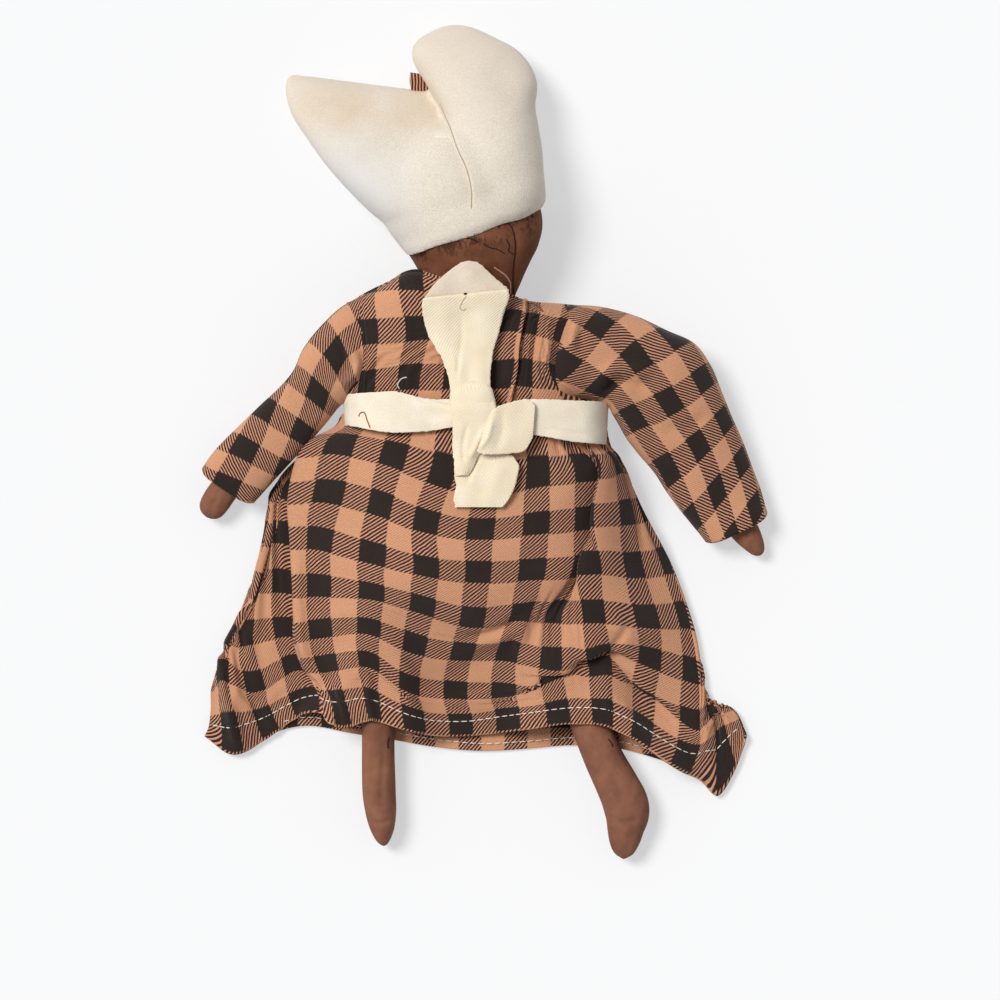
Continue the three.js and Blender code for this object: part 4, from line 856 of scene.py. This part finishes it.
skirtUnder = {
    # left and right edges, their height, the middle's drop below the straight line, row by row
    "rows": [(-57, 1, 19, 57, 1, 19, 0), (-73, -14, 9, 61.5, -19, 11, 0), (-85, -32, 4, 70, -40, 5, 0),
             (-90, -62, 2.6, 83, -64, 3, 0), (-101.5, -96, 2.4, 94, -92, 2.6, -3),
             (-112.5, -120, 2.4, 99, -120, 2.4, -8), (-117, -140, 2.4, 107, -156, 2.6, -2),
             (-112, -147, 2.4, 109, -165, 2.6, 4)],
    "hem": [(-112, -148), (-92, -141), (-75, -137.5), (-55, -141), (-36, -144), (-18, -147), (3, -148.8),
            (24, -147.8), (44, -146.3), (66, -148), (92, -156), (110, -166)],
    "columns": 12,
    "rest": 1.7,       # height of the middle, on the apron
    "hemDepth": 7,
    "waves": (0.35, 30, 8),
    "grid": (90, 140),
    "stitchRow": -8,   # of that grid, from the hem
    "stitchHalf": 0.22,
}
lx, ly, lz, rx, ry, rz, sag = np.array(skirtUnder["rows"]).T[:, :, None]
share = np.linspace(0, 1, skirtUnder["columns"])
under = np.zeros((len(skirtUnder["rows"]), skirtUnder["columns"], 5))
under[:, :, 0] = lx + (rx - lx) * share
under[:, :, 1] = ly + (ry - ly) * share + sag * (1 - (2 * share - 1) ** 2)
under[:, :, 2] = lz + (rz - lz) * share - skirtUnder["rest"]
under[:, :, 2] = skirtUnder["rest"] + under[:, :, 2] * np.abs(2 * share - 1) ** 5
under[-1, :, :2] = skirtUnder["hem"]
under[-2, :, :2] = under[-1, :, :2] + [0, skirtUnder["hemDepth"]]
# fitted to the squares that show along the hem
under[:, :, 3] = (under[:, :, 0] + 2.1) * checkRepeat / 20.7
under[:, :, 4] = (under[:, :, 1] + 144.5) * 1.04 + checkRepeat / 2
underSurface = smoothNet(under, *skirtUnder["grid"])
x, y, z = axes(underSurface)
z += skirtUnder["waves"][0] + ripple(x, y, *skirtUnder["waves"])
skirtFront = thicken(gridMesh("skirt_front_cloth", underSurface, flannel), flannelThickness)
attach(skirtFront, "torso")
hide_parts("skirt_front")
frontHem = underSurface[skirtUnder["stitchRow"], :, :3] + [0, 0, flannelThickness]
frontStitches = stitchLine("skirt_front_stitches", frontHem, skirt["stitch"], skirt["stitchGap"],
                           skirtUnder["stitchHalf"])

bodice = {
    "columns": [-1.6, -1, -0.5, 0, 1, 2, 2.35, 2.5, 2.65, 3, 3.5, 4],
    "net": [   # x, y, z, check row; the pleat is at columns 2.35 to 2.65
        [(-57, 51.5, 23, 0.45), (-48, 56.8, 24, 0.2), (-38, 61.5, 27, 0.05), (-28, 66, 32, -0.2), (-8, 62, 41, -0.2),
         (16, 54.4, 38, 0.3), (22.5, 52.9, 34.5, 0.3), (20.6, 52.9, 31.5, 0.3), (22.8, 52.6, 31, 0.33),
         (26, 52.2, 30.5, 0.35), (34, 51.5, 27, 0.4), (46, 50.8, 23, 0.4)],
        [(-58, 46, 29, 0.7), (-49, 51, 33, 0.45), (-39, 56, 36, 0.3), (-28.5, 60.5, 39, 0.08), (-6, 56, 44, 0.1),
         (16, 50.4, 43, 0.6), (22.7, 49, 42.4, 0.6), (20.2, 48.9, 38.6, 0.6), (22.8, 48.6, 38.6, 0.62),
         (26, 48.2, 40, 0.65), (33.5, 47.4, 38, 0.65), (43.5, 46, 34.5, 0.65)],
        [(-52, 35, 33.5, 1.1), (-48, 38.2, 37, 1), (-36.5, 39, 40.5, 1), (-25, 39.7, 42.5, 1), (-4, 41, 43.5, 1),
         (15, 44, 43.5, 1), (21.7, 43.2, 44, 1), (18.8, 43.2, 39.4, 1), (21.4, 43, 39.6, 1), (24.6, 42.6, 42, 1),
         (31.5, 41, 41, 1), (39.5, 39.2, 37.4, 1)],
        [(-50.5, 27, 34, 1.5), (-47.5, 27, 37, 1.5), (-37.5, 28, 40.5, 1.5), (-27, 29, 42.5, 1.5),
         (-6, 30, 43.3, 1.5), (12.5, 32, 43.5, 1.5), (19.8, 32, 44.4, 1.5), (16.6, 32, 39.4, 1.5),
         (19.2, 32, 39.6, 1.5), (22.6, 31.8, 42.2, 1.5), (30.5, 30.5, 41, 1.5), (36.5, 28, 37, 1.5)],
        [(-55, 14, 31, 2.05), (-48.7, 15.7, 34.5, 2), (-39, 17.5, 39, 2), (-29.2, 18.7, 41.5, 2), (-9, 19, 42.5, 2),
         (10.8, 19.5, 42.5, 2), (18.8, 20.5, 43.8, 2), (15.8, 20.6, 39, 2), (18.4, 20.7, 39.4, 2),
         (21.8, 20.7, 41.6, 2), (29.5, 20, 40, 2), (37.5, 18, 36, 2.05)],
        [(-57, 0, 21, 2.7), (-50, 1, 29.5, 2.7), (-40, 1, 35, 2.7), (-30, 1, 38, 2.7), (-10, 1, 40, 2.7),
         (8, 1, 40, 2.7), (14.5, 1, 40.4, 2.7), (13, 1, 37.6, 2.7), (15.5, 1, 38, 2.7), (20, 1, 39.2, 2.7),
         (34, 1, 36, 2.7), (57, 0, 22, 2.7)],
    ],
    "gathers": [
        ([(27, 50), (28, 40), (26, 28), (25.5, 12)], -1.4, 1.6, 1.6),
        ([(31, 46), (33, 38), (33, 30), (31, 22)], 1.2, 2.2, 2.2),
        ([(14, 36), (15.5, 26), (14, 14)], 0.8, 1.8, 1.8),
        ([(-44, 30), (-47, 24), (-50, 18)], 1.4, 3, 3),
    ],
    "settle": {"steps": 100, "slack": 0.4, "hold": 0.08, "keep": 0.02, "weight": 0.02, "bend": 0.08},
    "waves": (0.3, 16, 3),
    "heldRows": 1,                   # at the neck
    "grid": (61, 111), "fineGrid": (121, 221),
    "clearance": 1.3, "lowest": 3,   # over the body, and over the floor
}
points = np.array(bodice["net"])
bodiceSurface = smoothNet(checkNet(points[:, :, :3], bodice["columns"], points[:, :, 3]), *bodice["grid"])
x, y, z = axes(bodiceSurface)
z += creases(x, y, bodice["gathers"]) + ripple(x, y, *bodice["waves"])
inside = [torsoPillow, headForm, limbPieces["left_arm"], limbPieces["right_arm"]]
support = np.maximum(topOf(inside, bodiceSurface) + bodice["clearance"], bodice["lowest"])
support = np.minimum(support, z)
bodiceSurface = settle(bodiceSurface, support, bodice["heldRows"], **bodice["settle"])
bodiceSurface = smoothNet(bodiceSurface, *bodice["fineGrid"])
bodiceBack = thicken(gridMesh("bodice_back_cloth", bodiceSurface, flannel), flannelThickness)
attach(bodiceBack, "torso")
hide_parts("bodice_back")

bodiceUnder = {
    # left x, y, right x, y, height of the middle
    "edges": [(-57, 51.5, 51, 52.4, 22), (-57.5, 47, 50, 47, 8), (-55, 35, 47, 36, 2.2), (-53, 25, 47, 25, 1.9),
              (-55, 12, 50, 12, 1.9), (-57, 0, 57, 0, 1.9)],
    "sideHeight": 22,
    "waves": (0.25, 18, 9),
    "columns": 9,
    "grid": (60, 90),
}
lx, ly, rx, ry, middle = np.array(bodiceUnder["edges"]).T[:, :, None]
share = np.linspace(0, 1, bodiceUnder["columns"])
edge = np.abs(2 * share - 1) ** 4
front = np.zeros((len(bodiceUnder["edges"]), bodiceUnder["columns"], 5))
front[:, :, 0] = lx + (rx - lx) * share
front[:, :, 1] = ly + (ry - ly) * share
front[0, :, 1] += 3 * (1 - (2 * share - 1) ** 2) - 2   # the neck
front[:, :, 2] = middle * (1 - edge) + bodiceUnder["sideHeight"] * edge
front[:, :, 3] = front[:, :, 0] * 1.15
front[:, :, 4] = front[:, :, 1] * 1.1
frontSurface = smoothNet(front, *bodiceUnder["grid"])
x, y, z = axes(frontSurface)
z += bodiceUnder["waves"][0] + ripple(x, y, *bodiceUnder["waves"])
bodiceFront = thicken(gridMesh("bodice_front_cloth", frontSurface, flannel), flannelThickness, 1)
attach(bodiceFront, "torso")
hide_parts("bodice_front")
print("skirt and bodice made")

sleeves = {
    # edges seen from above: inner x, y, outer x, y, middle height, half height
    "left": [(-42, 13, -45, 56, 24, 11), (-53, 11.5, -58, 51, 23.5, 12), (-57.5, 8, -68, 42.2, 22, 12),
             (-61, 5, -76.3, 32, 20, 11), (-65, 0, -81, 22, 18, 10), (-71, -7, -87, 14.7, 16.5, 9.5),
             (-78, -14.5, -95.7, 6.7, 15, 9), (-85, -22, -104, -1.3, 13.5, 8.5), (-91, -28.5, -112, -9, 12, 8),
             (-95.5, -33.5, -118, -15.6, 11, 7.6), (-100.4, -39.4, -123.8, -23.8, 10.5, 7.4)],
    "right": [(31.5, 11, 39, 50.4, 24, 9.5), (37, 9.8, 45, 50.8, 25, 14.8), (48, 8.5, 57, 50, 24, 14.6),
              (58.5, 6, 72, 46, 22, 13.5), (61.5, 2, 86, 39.6, 20.5, 13.5), (64.5, -3, 98, 34, 19, 13),
              (68, -9, 105.5, 24, 17.5, 12.5), (73.5, -16, 110, 13.5, 16, 12), (80, -23.5, 114.7, 2, 14.5, 11),
              (85.5, -32, 119.7, -9, 13, 10), (91.8, -40.5, 124.2, -21, 11.5, 9.2),
              (97.5, -47.5, 128.2, -31.5, 10.5, 8.6), (104.6, -57.2, 132.3, -44, 10, 8.2)],
    # x, y of dark squares, and their column and row
    "leftChecks": [(-61.5, 28.5, 0, 0), (-69, 9.75, 0, 1), (-76.5, -6, 0, 2), (-93.7, 5.2, -1, 2),
                   (-102, -14.2, -1, 3), (-111.7, -29.2, -1, 4)],
    "rightChecks": [(55.5, 42.7, 1, 0), (70.5, 24.7, 1, 1), (87, 6.7, 1, 2), (100.5, -12, 1, 3), (108, -33, 1, 4),
                    (88.5, 36.7, 2, 1), (102.7, 18.7, 2, 2), (111.7, -1.5, 2, 3), (120, -18, 2, 4),
                    (124.5, -39, 2, 5), (41.2, 23.2, 0, 0), (56, 14.5, 0, 1), (70.5, 2.2, 0, 2)],
    "leftCreases": [([(-58, 32), (-52.5, 27), (-53, 20), (-59, 15)], 4, 2, 2),
                    ([(-60, 33), (-57, 26), (-58, 18)], -1.6, 2, 2), ([(-84, 14), (-76, 6), (-70, 0)], -1.6, 3, 3),
                    ([(-66, 36), (-60, 24), (-58, 14)], -1.2, 3, 3)],
    "rightCreases": [([(46, 44), (43, 36), (44, 30)], 2.2, 1.8, 2.2),
                     ([(49, 43), (47, 36), (48, 29)], -1.6, 1.6, 1.8),
                     ([(53, 11.4), (58, 18), (63.6, 20.7), (71, 19.5), (78, 16.7)], 3.2, 4, 1.6),
                     ([(55, 10), (60, 16), (65, 18.2), (72, 17), (79, 14.2)], -2.8, 1.6, 3),
                     ([(76, -18), (84, -20), (92, -28)], -1.5, 3, 3), ([(60, 44), (70, 36), (84, 33)], -1, 4, 4),
                     ([(84, -4), (94, -4), (104, 2)], -1.2, 3, 3)],
    "rows": 110, "sides": 72,
    "squareness": 2.3,
    "waves": (0.5, 20, 4),
    "checkReach": 600,   # how widely a square pulls the pattern, mm2
    "cuffCorner": 2.6,   # how far the corners of the cuffs are drawn back
    "cuffRows": 12,
    "lowest": 1.6,
}
for side in ("left", "right"):
    rows, sides = sleeves["rows"], sleeves["sides"]
    tube = flatForm(sleeves[side], rows, sides, sleeves["squareness"])
    edges = smoothRun(sleeves[side], rows)
    middle = (edges[:, :2] + edges[:, 2:4]) / 2
    x, y, z = axes(tube)
    # cloth coordinates: the length round the tube from its inner edge and along it, fitted to the dark squares
    girth = runAlong(tube[:, :, :3].swapaxes(0, 1)).T
    along = runAlong(middle)[:, None] + 0 * girth
    terms = np.stack([np.ones_like(girth), girth / 50, along / 50, (along / 50) ** 2, girth * along / 2500], axis=2)
    terms = terms[:, :, :3] if side == "left" else terms
    checks = np.array(sleeves[side + "Checks"], float)
    upper = tube[:, :sides // 2 + 1]
    seen = [np.unravel_index(np.argmin((upper[:, :, 0] - c[0]) ** 2 + (upper[:, :, 1] - c[1]) ** 2), upper.shape[:2])
            for c in checks]
    known = np.array([terms[at] for at in seen])
    fit = np.linalg.lstsq(known, checks[:, 2:], rcond=None)[0]
    # and what is left over is drawn in near each square
    places = np.array([(girth[at], along[at]) for at in seen])
    apart = (girth[:, :, None] - places[:, 0]) ** 2 + (along[:, :, None] - places[:, 1]) ** 2
    reach = np.exp(-apart / sleeves["checkReach"])
    share = np.array([reach[at] for at in seen]) + 0.3 * np.eye(len(seen))
    cloth = terms @ fit + reach @ np.linalg.solve(share, checks[:, 2:] - known @ fit)
    tube[:, :, 3] = -cloth[:, :, 0] * checkRepeat   # cut with the twill the other way
    tube[:, :, 4] = -cloth[:, :, 1] * checkRepeat
    above = blendStep(z - edges[:, 4:5], 0, 6)
    z += creases(x, y, sleeves[side + "Creases"]) * above
    z += ripple(x, y, *sleeves["waves"]) * above
    z[:] = np.maximum(z, sleeves["lowest"])
    tube[:, -1, :3] = tube[:, 0, :3]
    ahead = np.gradient(middle, axis=0)
    ahead /= np.linalg.norm(ahead, axis=1)[:, None]
    leftward = np.stack([-ahead[:, 1], ahead[:, 0]], axis=1)
    aside = np.abs(((tube[:, :, :2] - middle[:, None]) * leftward[:, None]).sum(axis=2))
    aside /= aside.max(axis=1, keepdims=True)
    nearCuff = blendStep(np.arange(rows), rows - sleeves["cuffRows"], rows - 1)[:, None]
    tube[:, :, :2] -= (sleeves["cuffCorner"] * nearCuff * aside ** 6)[:, :, None] * ahead[:, None]
    sleeve = thicken(gridMesh(side + "_sleeve_cloth", tube, flannel, True), flannelThickness)
    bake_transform(sleeve)
    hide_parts(side + "_sleeve")
print("sleeves made")

ties = {
    # first edge x, y, second edge x, y, height
    "left": [(-2, 7, -2, -2, 45.5), (-10, 8.6, -9, -3.6, 46), (-18.6, 8.2, -17, -5.2, 45.6),
             (-27, 10, -27, -6, 44.6), (-35, 12.1, -36, -6.3, 42.8), (-43, 11.8, -44, -5.4, 39.8),
             (-51, 11.4, -51, -3.9, 34.4), (-56.5, 11.1, -56, -2.9, 28), (-58.8, 10.9, -58, -2.6, 21),
             (-57, 10, -57, -4, 13), (-50, 9.2, -50, -6.5, 6), (-38, 8.5, -38, -8, 2.4), (-20, 8.5, -20, -8.5, 1.7)],
    "right": [(2, 5, 2, -4, 45.5), (10, 5.5, 10, -6, 46), (20, 8, 20, -7, 45.4), (27, 8.5, 27, -7.4, 44.6),
              (35, 8.5, 35, -8.8, 43.6), (43, 8.1, 43, -10.2, 42), (51, 7.9, 51, -10.9, 38.4),
              (56.5, 7.7, 56.3, -11.2, 31.5), (59.6, 7, 58.8, -11.2, 21), (58, 7, 57.6, -10.5, 12),
              (50, 7.5, 50, -9.5, 6), (38, 8, 38, -8.5, 2.4), (20, 8.5, 20, -8.5, 1.7)],
    "under": [(-20, 46, 13, 48, 46.5), (-22, 52, 15, 55.2, 47.4), (-20.8, 55, 14.2, 57.6, 48),
              (-17, 60, 9, 62, 48.2), (-9.5, 66.4, 3.2, 67.6, 47.8), (-2.9, 70.6, -1.6, 70.8, 47)],
    "up": [(-10.7, 12.5, 7.2, 12.5, 48.2), (-12, 19.7, 7, 19.7, 47.4), (-15.3, 28, 8.4, 29.7, 46.4),
           (-19.9, 35.5, 10.9, 38, 46.4), (-22.4, 43, 13, 46.4, 47.4), (-23.2, 49, 15.2, 52.5, 49),
           (-22.8, 52.4, 15, 56, 49.8), (-22.4, 53.2, 14.6, 57, 49)],
    "down": [(-7, -14, 9, -14, 46), (-7.5, -17, 16.5, -16.5, 46), (-8.8, -21, 19.6, -20.5, 45.9),
             (-8.9, -26, 18.9, -26, 45.7), (-8.2, -30, 17.7, -30.5, 45.4), (-9.2, -35.5, 15.3, -35.5, 45),
             (-8.4, -39.2, 12.4, -39.2, 44.6)],
    "fall": [(-9.8, 9, 8.6, 8, 50.6), (-9.9, 4, 9.4, 4, 51.2), (-9.7, -3, 9, -2, 50.6), (-9.7, -10, 6.6, -9, 49.4),
             (-9.5, -16, 2.6, -15, 48.2), (-9.1, -19.5, 0.8, -18.6, 47.8), (-8.9, -23, -0.8, -22.4, 47.4),
             (-8.6, -25.4, -2.6, -25, 47)],
    "side": [(7, 2.5, 1, -15, 51), (9.8, 4.8, 5, -16, 51.2), (14, 6.5, 10.7, -15.9, 50),
             (19, 7.9, 16.6, -15.4, 48.8), (23.5, 8.4, 22, -14.3, 47.8), (26.8, 6.2, 25.7, -8.6, 47.2)],
    # line, height, width of its left and right slopes
    "creases": {
        "left": [([(-26, 9.4), (-18, 7.2), (-9, 4.4)], -0.9, 0.9, 1.4)],
        "right": [([(30, -4), (40, -6), (52, -7)], -0.4, 1.5, 1.5)],
        "up": [([(-6, 46), (-5.4, 38), (-6.4, 30), (-7.6, 19)], -0.6, 0.8, 1),
               ([(-9, 30), (-7, 24), (-8, 18)], -0.4, 0.8, 0.8)],
        "under": [],
        "down": [([(2, -17), (-1, -22), (-3, -29)], -0.8, 0.9, 1.6), ([(12, -20), (8, -30), (4, -38)], 0.4, 3, 3)],
        "fall": [([(5, -3), (1, -12), (-2, -18)], 1.0, 1.5, 1.5),
                 ([(-3, -2), (-5, -12), (-4.5, -20)], -0.7, 1.2, 1.2)],
        "side": [([(8, 0), (6, -8), (1.5, -14.5)], 1.0, 1.4, 1.8), ([(12, 4), (12, -6), (9, -14)], -0.6, 2.2, 2.2)],
    },
    "grid": (80, 33),
    "waves": (0.18, 12, 21),
    "ravel": (0.22, 2.6, 31),   # of the raw edges
}
tiePieces = {}
# which band, the node it stands for, its rise across, finish, flat size, what it lies on
plan = [("left", "tie_left", [0, 0.3, 0.1, 0.3, 0], twillBack, (0.11, 0.017), ["torso_pillow"]),
        ("right", "tie_right", [0, 0.3, 0.1, 0.3, 0], twillBack, (0.11, 0.018), ["torso_pillow"]),
        # the under band takes the greyer finish, whose colour is painted shade from the loop above it
        ("under", None, [0, 0.4, 0.6, 0.4, 0], twillInShade, (0.036, 0.022), ["bodice_back_cloth"]),
        ("up", "tie_loop", [0, 0.9, 0.2, 0.9, 0], twillFace, (0.03, 0.046), ["bodice_back_cloth"]),
        ("down", "tie_down_tail", [0, 0.5, 0.3, 0.5, 0], twillFace, (0.026, 0.028), ["skirt_back_cloth"]),
        ("fall", None, [-0.6, 0.5, 0.8, 0.5, -0.6], twillFace, (0.015, 0.04), ["tie_down_band"]),
        ("side", "tie_side_tail", [0, 0.4, 0.5, 0.4, 0], twillFace, (0.022, 0.024), ["tie_right_band"])]
for key, node, rise, material, flat, rests in plan:
    edges = np.array(ties[key])
    wide = np.hypot(*(edges[:, :2] - edges[:, 2:4]).mean(axis=0))
    surface = strip(edges, rise, *ties["grid"], wide)
    x, y, z = axes(surface)
    z += ripple(x, y, *ties["waves"]) * blendStep(z, 3, 9)
    z += creases(x, y, ties["creases"][key])
    for edge in (0, -1):
        surface[:, edge, :2] += ripple(x[:, edge], y[:, edge] + 3 * edge, *ties["ravel"])[:, None]
    if key == "right":   # outer face away from the body
        surface = surface[:, ::-1]
    band = gridMesh("tie_" + key + "_band", surface, material)
    bm = bmesh.new()
    bm.from_mesh(band.data)
    bm.normal_update()
    top = max(bm.faces, key=lambda f: f.calc_center_median().z)
    if top.normal.z < 0:
        bmesh.ops.reverse_faces(bm, faces=bm.faces)
    bm.to_mesh(band.data)
    bm.free()
    thicken(band, cottonThickness)
    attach(band, "torso")
    if node:
        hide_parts(node)
    tiePieces[key] = band

knotShape = {
    "stations": [(-2, 16.5, 47, 0.5, 0.5), (-1.8, 15.6, 47.4, 6.5, 1.8), (-1.6, 12.5, 48.2, 9.2, 2.8),
                 (-1, 8, 48.4, 9.9, 3.3), (-0.2, 3.5, 48.2, 10, 3), (0.3, -0.5, 47.6, 9, 2.4), (0, -3, 47, 7, 1.6),
                 (0, -4, 46.8, 0.5, 0.5)],
    "creases": [([(-11, 9.5), (-7, 4), (-5, -1.5)], -0.9, 1.2, 1.2),
                ([(-10.5, 14), (-4, 14.6), (2, 14.2)], -0.7, 1, 1), ([(-6, 1), (0, 0.6), (5, 0.9)], -0.5, 1, 1)],
    "grid": (50, 36),
    "squareness": 2.3,
}
surface = roundForm(knotShape["stations"], *knotShape["grid"], knotShape["squareness"])
x, y, z = axes(surface)
z += creases(x, y, knotShape["creases"]) * blendStep(z, 48, 50)
knot = gridMesh("tie_knot_wrap", surface, twillFace, True)
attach(knot, "torso")
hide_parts("tie_knot")

apron = {
    "halves": (23, 56, 56, 56, 56, 56, 50),   # half width, from the waist to the hem
    "shares": (0, 0.06, 0.25, 0.5, 0.75, 0.94, 1),
    "top": -8.9, "bottom": -126.8,
    "height": 1.0,
    "waves": (0.12, 22, 14),
    "grid": (70, 70),
}
panel = np.zeros((7, 9, 5))
panel[:, :, 0] = np.array(apron["halves"])[:, None] * np.linspace(-1, 1, 9)
panel[:, :, 1] = apron["top"] + (apron["bottom"] - apron["top"]) * np.array(apron["shares"])[:, None]
panel[:, :, 2] = apron["height"]
panel[:, :, 3:] = panel[:, :, :2]
apronSurface = smoothNet(panel, *apron["grid"])
x, y, z = axes(apronSurface)
z += ripple(x, y, *apron["waves"])
apronPanel = thicken(gridMesh("apron_cloth", apronSurface, twillFace), cottonThickness)
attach(apronPanel, "torso")
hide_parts("apron_panel")

belt = {"half": 23.5, "rows": (8.5, 0, -8.5), "height": 1.2, "thickness": 1.0, "grid": (24, 50)}
band = np.zeros((3, 7, 5))
band[:, :, 0] = np.linspace(-belt["half"], belt["half"], 7)
band[:, :, 1] = np.array(belt["rows"])[:, None]
band[:, :, 2] = belt["height"]
band[:, :, 3:] = band[:, :, :2]
beltSurface = smoothNet(band, *belt["grid"])
waistband = thicken(gridMesh("apron_waistband_cloth", beltSurface, twillFace), belt["thickness"])
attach(waistband, "torso")
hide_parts("apron_waistband")
print("apron and ties made")

tab = {
    "edges": [(-28, 146, -18, 147, 12), (-29, 151, -19.5, 152, 12.6), (-28.8, 155.4, -19.8, 154, 12.8)],
    "rise": [0, 0.3, 0.4, 0.3, 0],
    "wide": 9,
    "grid": (16, 16),
}
tabSurface = strip(tab["edges"], tab["rise"], *tab["grid"], tab["wide"])
x, y = tabSurface[:, :, 0] + 24, tabSurface[:, :, 1] - 151
tabSurface[:, :, 3] = (x + y) * 0.75   # cut on the bias
tabSurface[:, :, 4] = (y - x) * 0.75 + checkRepeat / 2
tabPiece = thicken(gridMesh("headwrap_tab_cloth", tabSurface, flannel), flannelThickness)
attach(tabPiece, "head")
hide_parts("headwrap_tab")

scraps = {
    # loose ends of thread caught on the cloth, too short to hang, and dark sewn lines:
    # colour, half width, what they lie on, points
    "rust_thread": ("#a8622e", 0.3, tiePieces["left"],
                    [(-51.5, 1), (-50.6, 2.6), (-48.8, 2.6), (-47.6, -0.6), (-46.2, -4.2)]),
    "white_thread": ("#efe8da", 0.25, bodiceBack, [(-33.2, 13), (-34, 15.2), (-32.4, 17.6), (-30, 18.3)]),
    "straw_thread": ("#7d4f26", 0.35, bodiceBack, [(24.8, 51.6), (27.8, 50), (30.4, 47.2)]),
    "dark_thread": ("#231813", 0.5, tiePieces["up"], [(-4.6, 54.6), (-4, 54.9), (-3.4, 54.8)]),
    "curled_thread": ("#d9c9a4", 0.22, tiePieces["up"],
                      [(-3.6, 54), (-5.4, 51.5), (-6.4, 48.8), (-5, 47.6), (-3.8, 48.6)]),
    "pale_thread": ("#d8a592", 0.3, headForm, [(8.6, 66.8), (11, 65.2), (14, 63), (15.8, 60), (15.9, 54)]),
    "head_seam": ("#2b1811", 0.3, headForm, [(13.5, 87), (16.6, 84), (18, 76), (17, 64.5), (17.4, 54)]),
    "head_scratch": ("#1f1310", 0.22, headForm, [(4, 76.8), (7, 75.2), (10, 74.6), (13.6, 72.6)]),
    "head_mark": ("#1f1310", 0.25, headForm, [(-4, 79.4), (-1, 79), (1.6, 77.6)]),
    "head_nick": ("#1f1310", 0.22, headForm, [(14, 79), (15.4, 76.4), (15, 74), (17.4, 72.4)]),
    # a seam thread along the lobes' fold whose darker grey-beige paints the shadow line that the right lobe's edge
    # casts on the left lobe
    "wrap_seam": ("#b5a68e", 0.28, headwrap,
                  [(-15.4, 140.3), (-10.9, 129), (-7.5, 118.8), (-3.5, 109.7), (-1.4, 100.7), (-1.4, 92)]),
    "tack_thread": ("#fbf4e4", 0.3, headwrap, [(-18, 125), (-15, 124.4), (-12, 124.3)]),
    "leg_seam": ("#241611", 0.3, limbPieces["left_leg"], [(-38.2, -142), (-38.9, -145), (-38.6, -147)]),
    "leg_crack": ("#241611", 0.25, limbPieces["right_leg"], [(59.5, -142.6), (61, -144.6), (61.6, -146.4)]),
}
for name, (colour, half, under, points) in scraps.items():
    points = smoothRun(points, threadPoints)
    heights = topOf([under], points[None])[0] + half * 0.5
    scrap = threadPiece(name, points, heights, half, sewingThread(name + "_cotton", colour))
    body = "torso"
    if under in (headForm, headwrap):
        body = "head"
    elif "_leg_" in under.name:
        body = under.name.replace("_form", "")
    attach(scrap, body)
print("threads made")

paper, tree, shader = newFinish("white_paper", 0.9)   # half lit and half glowing where it is seen
shader.inputs["Base Color"].default_value = linear("#f4f4f4")
rays = addNode(tree, "LightPath").node.outputs
glow = addNode(tree, "Emission", {"Color": linear("#ffffff"), "Strength": 1.0})
seen = calc(tree, "ADD", rays["Is Camera Ray"], rays["Is Glossy Ray"])
seen = calc(tree, "ADD", seen, rays["Is Transmission Ray"], clamp=True)
lit = addNode(tree, "MixShader", {0: calc(tree, "MULTIPLY", seen, 0.5), 1: shader.outputs[0], 2: glow})
tree.links.new(lit, tree.nodes["Material Output"].inputs["Surface"])
bm = bmesh.new()
bmesh.ops.create_grid(bm, x_segments=1, y_segments=1, size=3)
floor = newPiece("floor", bm, paper)
floor.location.z = -0.0002

light = {"sky": "#f6f8ff", "skyStrength": 0.37, "energy": 2.45, "spread": 22, "tilt": (-18, -28, 0)}
world = bpy.data.worlds.new("studio")
world.use_nodes = True
sky = world.node_tree.nodes["Background"].inputs
sky["Color"].default_value = linear(light["sky"])
sky["Strength"].default_value = light["skyStrength"]
bpy.context.scene.world = world
lampData = bpy.data.lights.new("softKey", "SUN")
lampData.energy = light["energy"]
lampData.angle = math.radians(light["spread"])
lamp = bpy.data.objects.new("softKey", lampData)
lamp.rotation_euler = [math.radians(angle) for angle in light["tilt"]]
bpy.context.scene.collection.objects.link(lamp)

view = {"centre": (11.25, -36), "height": 2.4, "span": 0.45}
cameraData = bpy.data.cameras.new("photoCamera")
cameraData.lens = cameraData.sensor_width * view["height"] / view["span"]
camera = bpy.data.objects.new("photoCamera", cameraData)
camera.location = (view["centre"][0] * mm, view["centre"][1] * mm, view["height"])
bpy.context.scene.collection.objects.link(camera)
bpy.context.scene.camera = camera
bpy.context.scene.view_settings.view_transform = "Standard"

print("scene ready")
